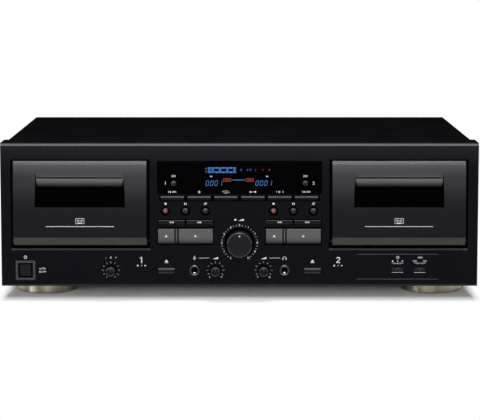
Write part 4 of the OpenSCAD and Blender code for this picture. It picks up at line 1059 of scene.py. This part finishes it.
def floor_finish():
    """White floor that keeps the deck's shadow close by and runs to plain white further off."""
    s = Shader("floor_white")
    s.set(Roughness=0.9, Specular_IOR_Level=0.0)
    s.join(s.ramp(s.noise(30), (0.89, 0.89, 0.89), (0.91, 0.91, 0.91)), "Base Color")
    half_w, half_d = cad_box[1][0], cad_box[1][1]
    past_end, steeper, fade = 0.001, 7.6, 0.04     # the shadow runs out faster at the deck's ends
    lift_start, lift_stop, lift = -0.087, -0.039, 0.12    # and pales towards the front and back
    spot = s.add("SeparateXYZ", Vector=s.place)
    beside = s.math("SUBTRACT", s.math("ABSOLUTE", spot.outputs["X"]), half_w + past_end)
    along = s.math("SUBTRACT", s.math("ABSOLUTE", spot.outputs["Y"]), half_d)
    away = s.math("MAXIMUM", s.math("MULTIPLY", beside, steeper), along)
    far = s.add("MapRange", Value=away, From_Min=-fade, From_Max=fade)
    far.interpolation_type = "SMOOTHSTEP"
    under = s.add("MapRange", Value=along, From_Min=lift_start, From_Max=lift_stop, To_Min=1.0,
                  To_Max=1 - lift)
    near = s.math("SUBTRACT", 1.0, far.outputs["Result"])
    shadow = s.math("MULTIPLY", near, under.outputs["Result"])
    white = s.add("Emission", Strength=1.0)
    mix = s.nodes.new("ShaderNodeMixShader")
    rays = background_rays(s.nodes, s.links)
    s.links.new(s.math("MULTIPLY", rays, s.math("SUBTRACT", 1.0, shadow)), mix.inputs[0])
    s.links.new(s.bsdf.outputs[0], mix.inputs[1])
    s.links.new(white.outputs[0], mix.inputs[2])
    s.links.new(mix.outputs[0], s.nodes["Material Output"].inputs["Surface"])
    return s


def stage():
    mesh = bmesh.new()
    bmesh.ops.create_grid(mesh, x_segments=2, y_segments=2, size=16)
    data = bpy.data.meshes.new("floor")
    mesh.to_mesh(data)
    mesh.free()
    floor = bpy.data.objects.new("floor", data)
    bpy.context.scene.collection.objects.link(floor)
    data.materials.append(floor_finish().material)


def world():
    """White backdrop that lights rough surfaces only a little."""
    sky = bpy.data.worlds.new("studio")
    bpy.context.scene.world = sky
    sky.use_nodes = True
    nodes, links = sky.node_tree.nodes, sky.node_tree.links
    backdrop = nodes["Background"]
    backdrop.inputs["Color"].default_value = (1, 1, 1, 1)
    level = nodes.new("ShaderNodeMapRange")
    level.inputs["To Min"].default_value = AMBIENT
    level.inputs["To Max"].default_value = 1.0
    links.new(background_rays(nodes, links), level.inputs["Value"])
    links.new(level.outputs["Result"], backdrop.inputs["Strength"])


def softbox(name, place, target, size, watts):
    data = bpy.data.lights.new(name, "AREA")
    data.shape = "RECTANGLE"
    data.size, data.size_y = size
    data.energy = watts
    lamp = bpy.data.objects.new(name, data)
    lamp.location = place
    lamp.rotation_mode = "QUATERNION"
    lamp.rotation_quaternion = (Vector(target) - Vector(place)).to_track_quat("-Z", "Y")
    bpy.context.scene.collection.objects.link(lamp)


def camera():
    """Long lens a little above the deck, as in the photo."""
    look_down = 6.267                      # degrees below the horizontal
    data = bpy.data.cameras.new("camera")
    data.lens, data.sensor_width = 137.14, 36.0
    data.shift_x, data.shift_y = 0.00107, -0.1167
    cam = bpy.data.objects.new("camera", data)
    cam.location = (0, -1.7809, 0.3163)
    cam.rotation_euler = (math.radians(90 - look_down), 0, 0)
    bpy.context.scene.collection.objects.link(cam)
    bpy.context.scene.camera = cam


finish_nodes()
paint_panel()
paint_rear()
paint_bays()
paint_controls()
dress_doors()
print_panel()
print_wells()
print_rules()
print_window()
light_display()
jack_contacts()
mark_keys()
mark_record_buttons()
mark_knobs()
mark_doors()
stage()
world()
for name, lamp in LAMPS.items():
    softbox(name, *lamp)
camera()
bpy.context.scene.view_settings.view_transform = "Standard"
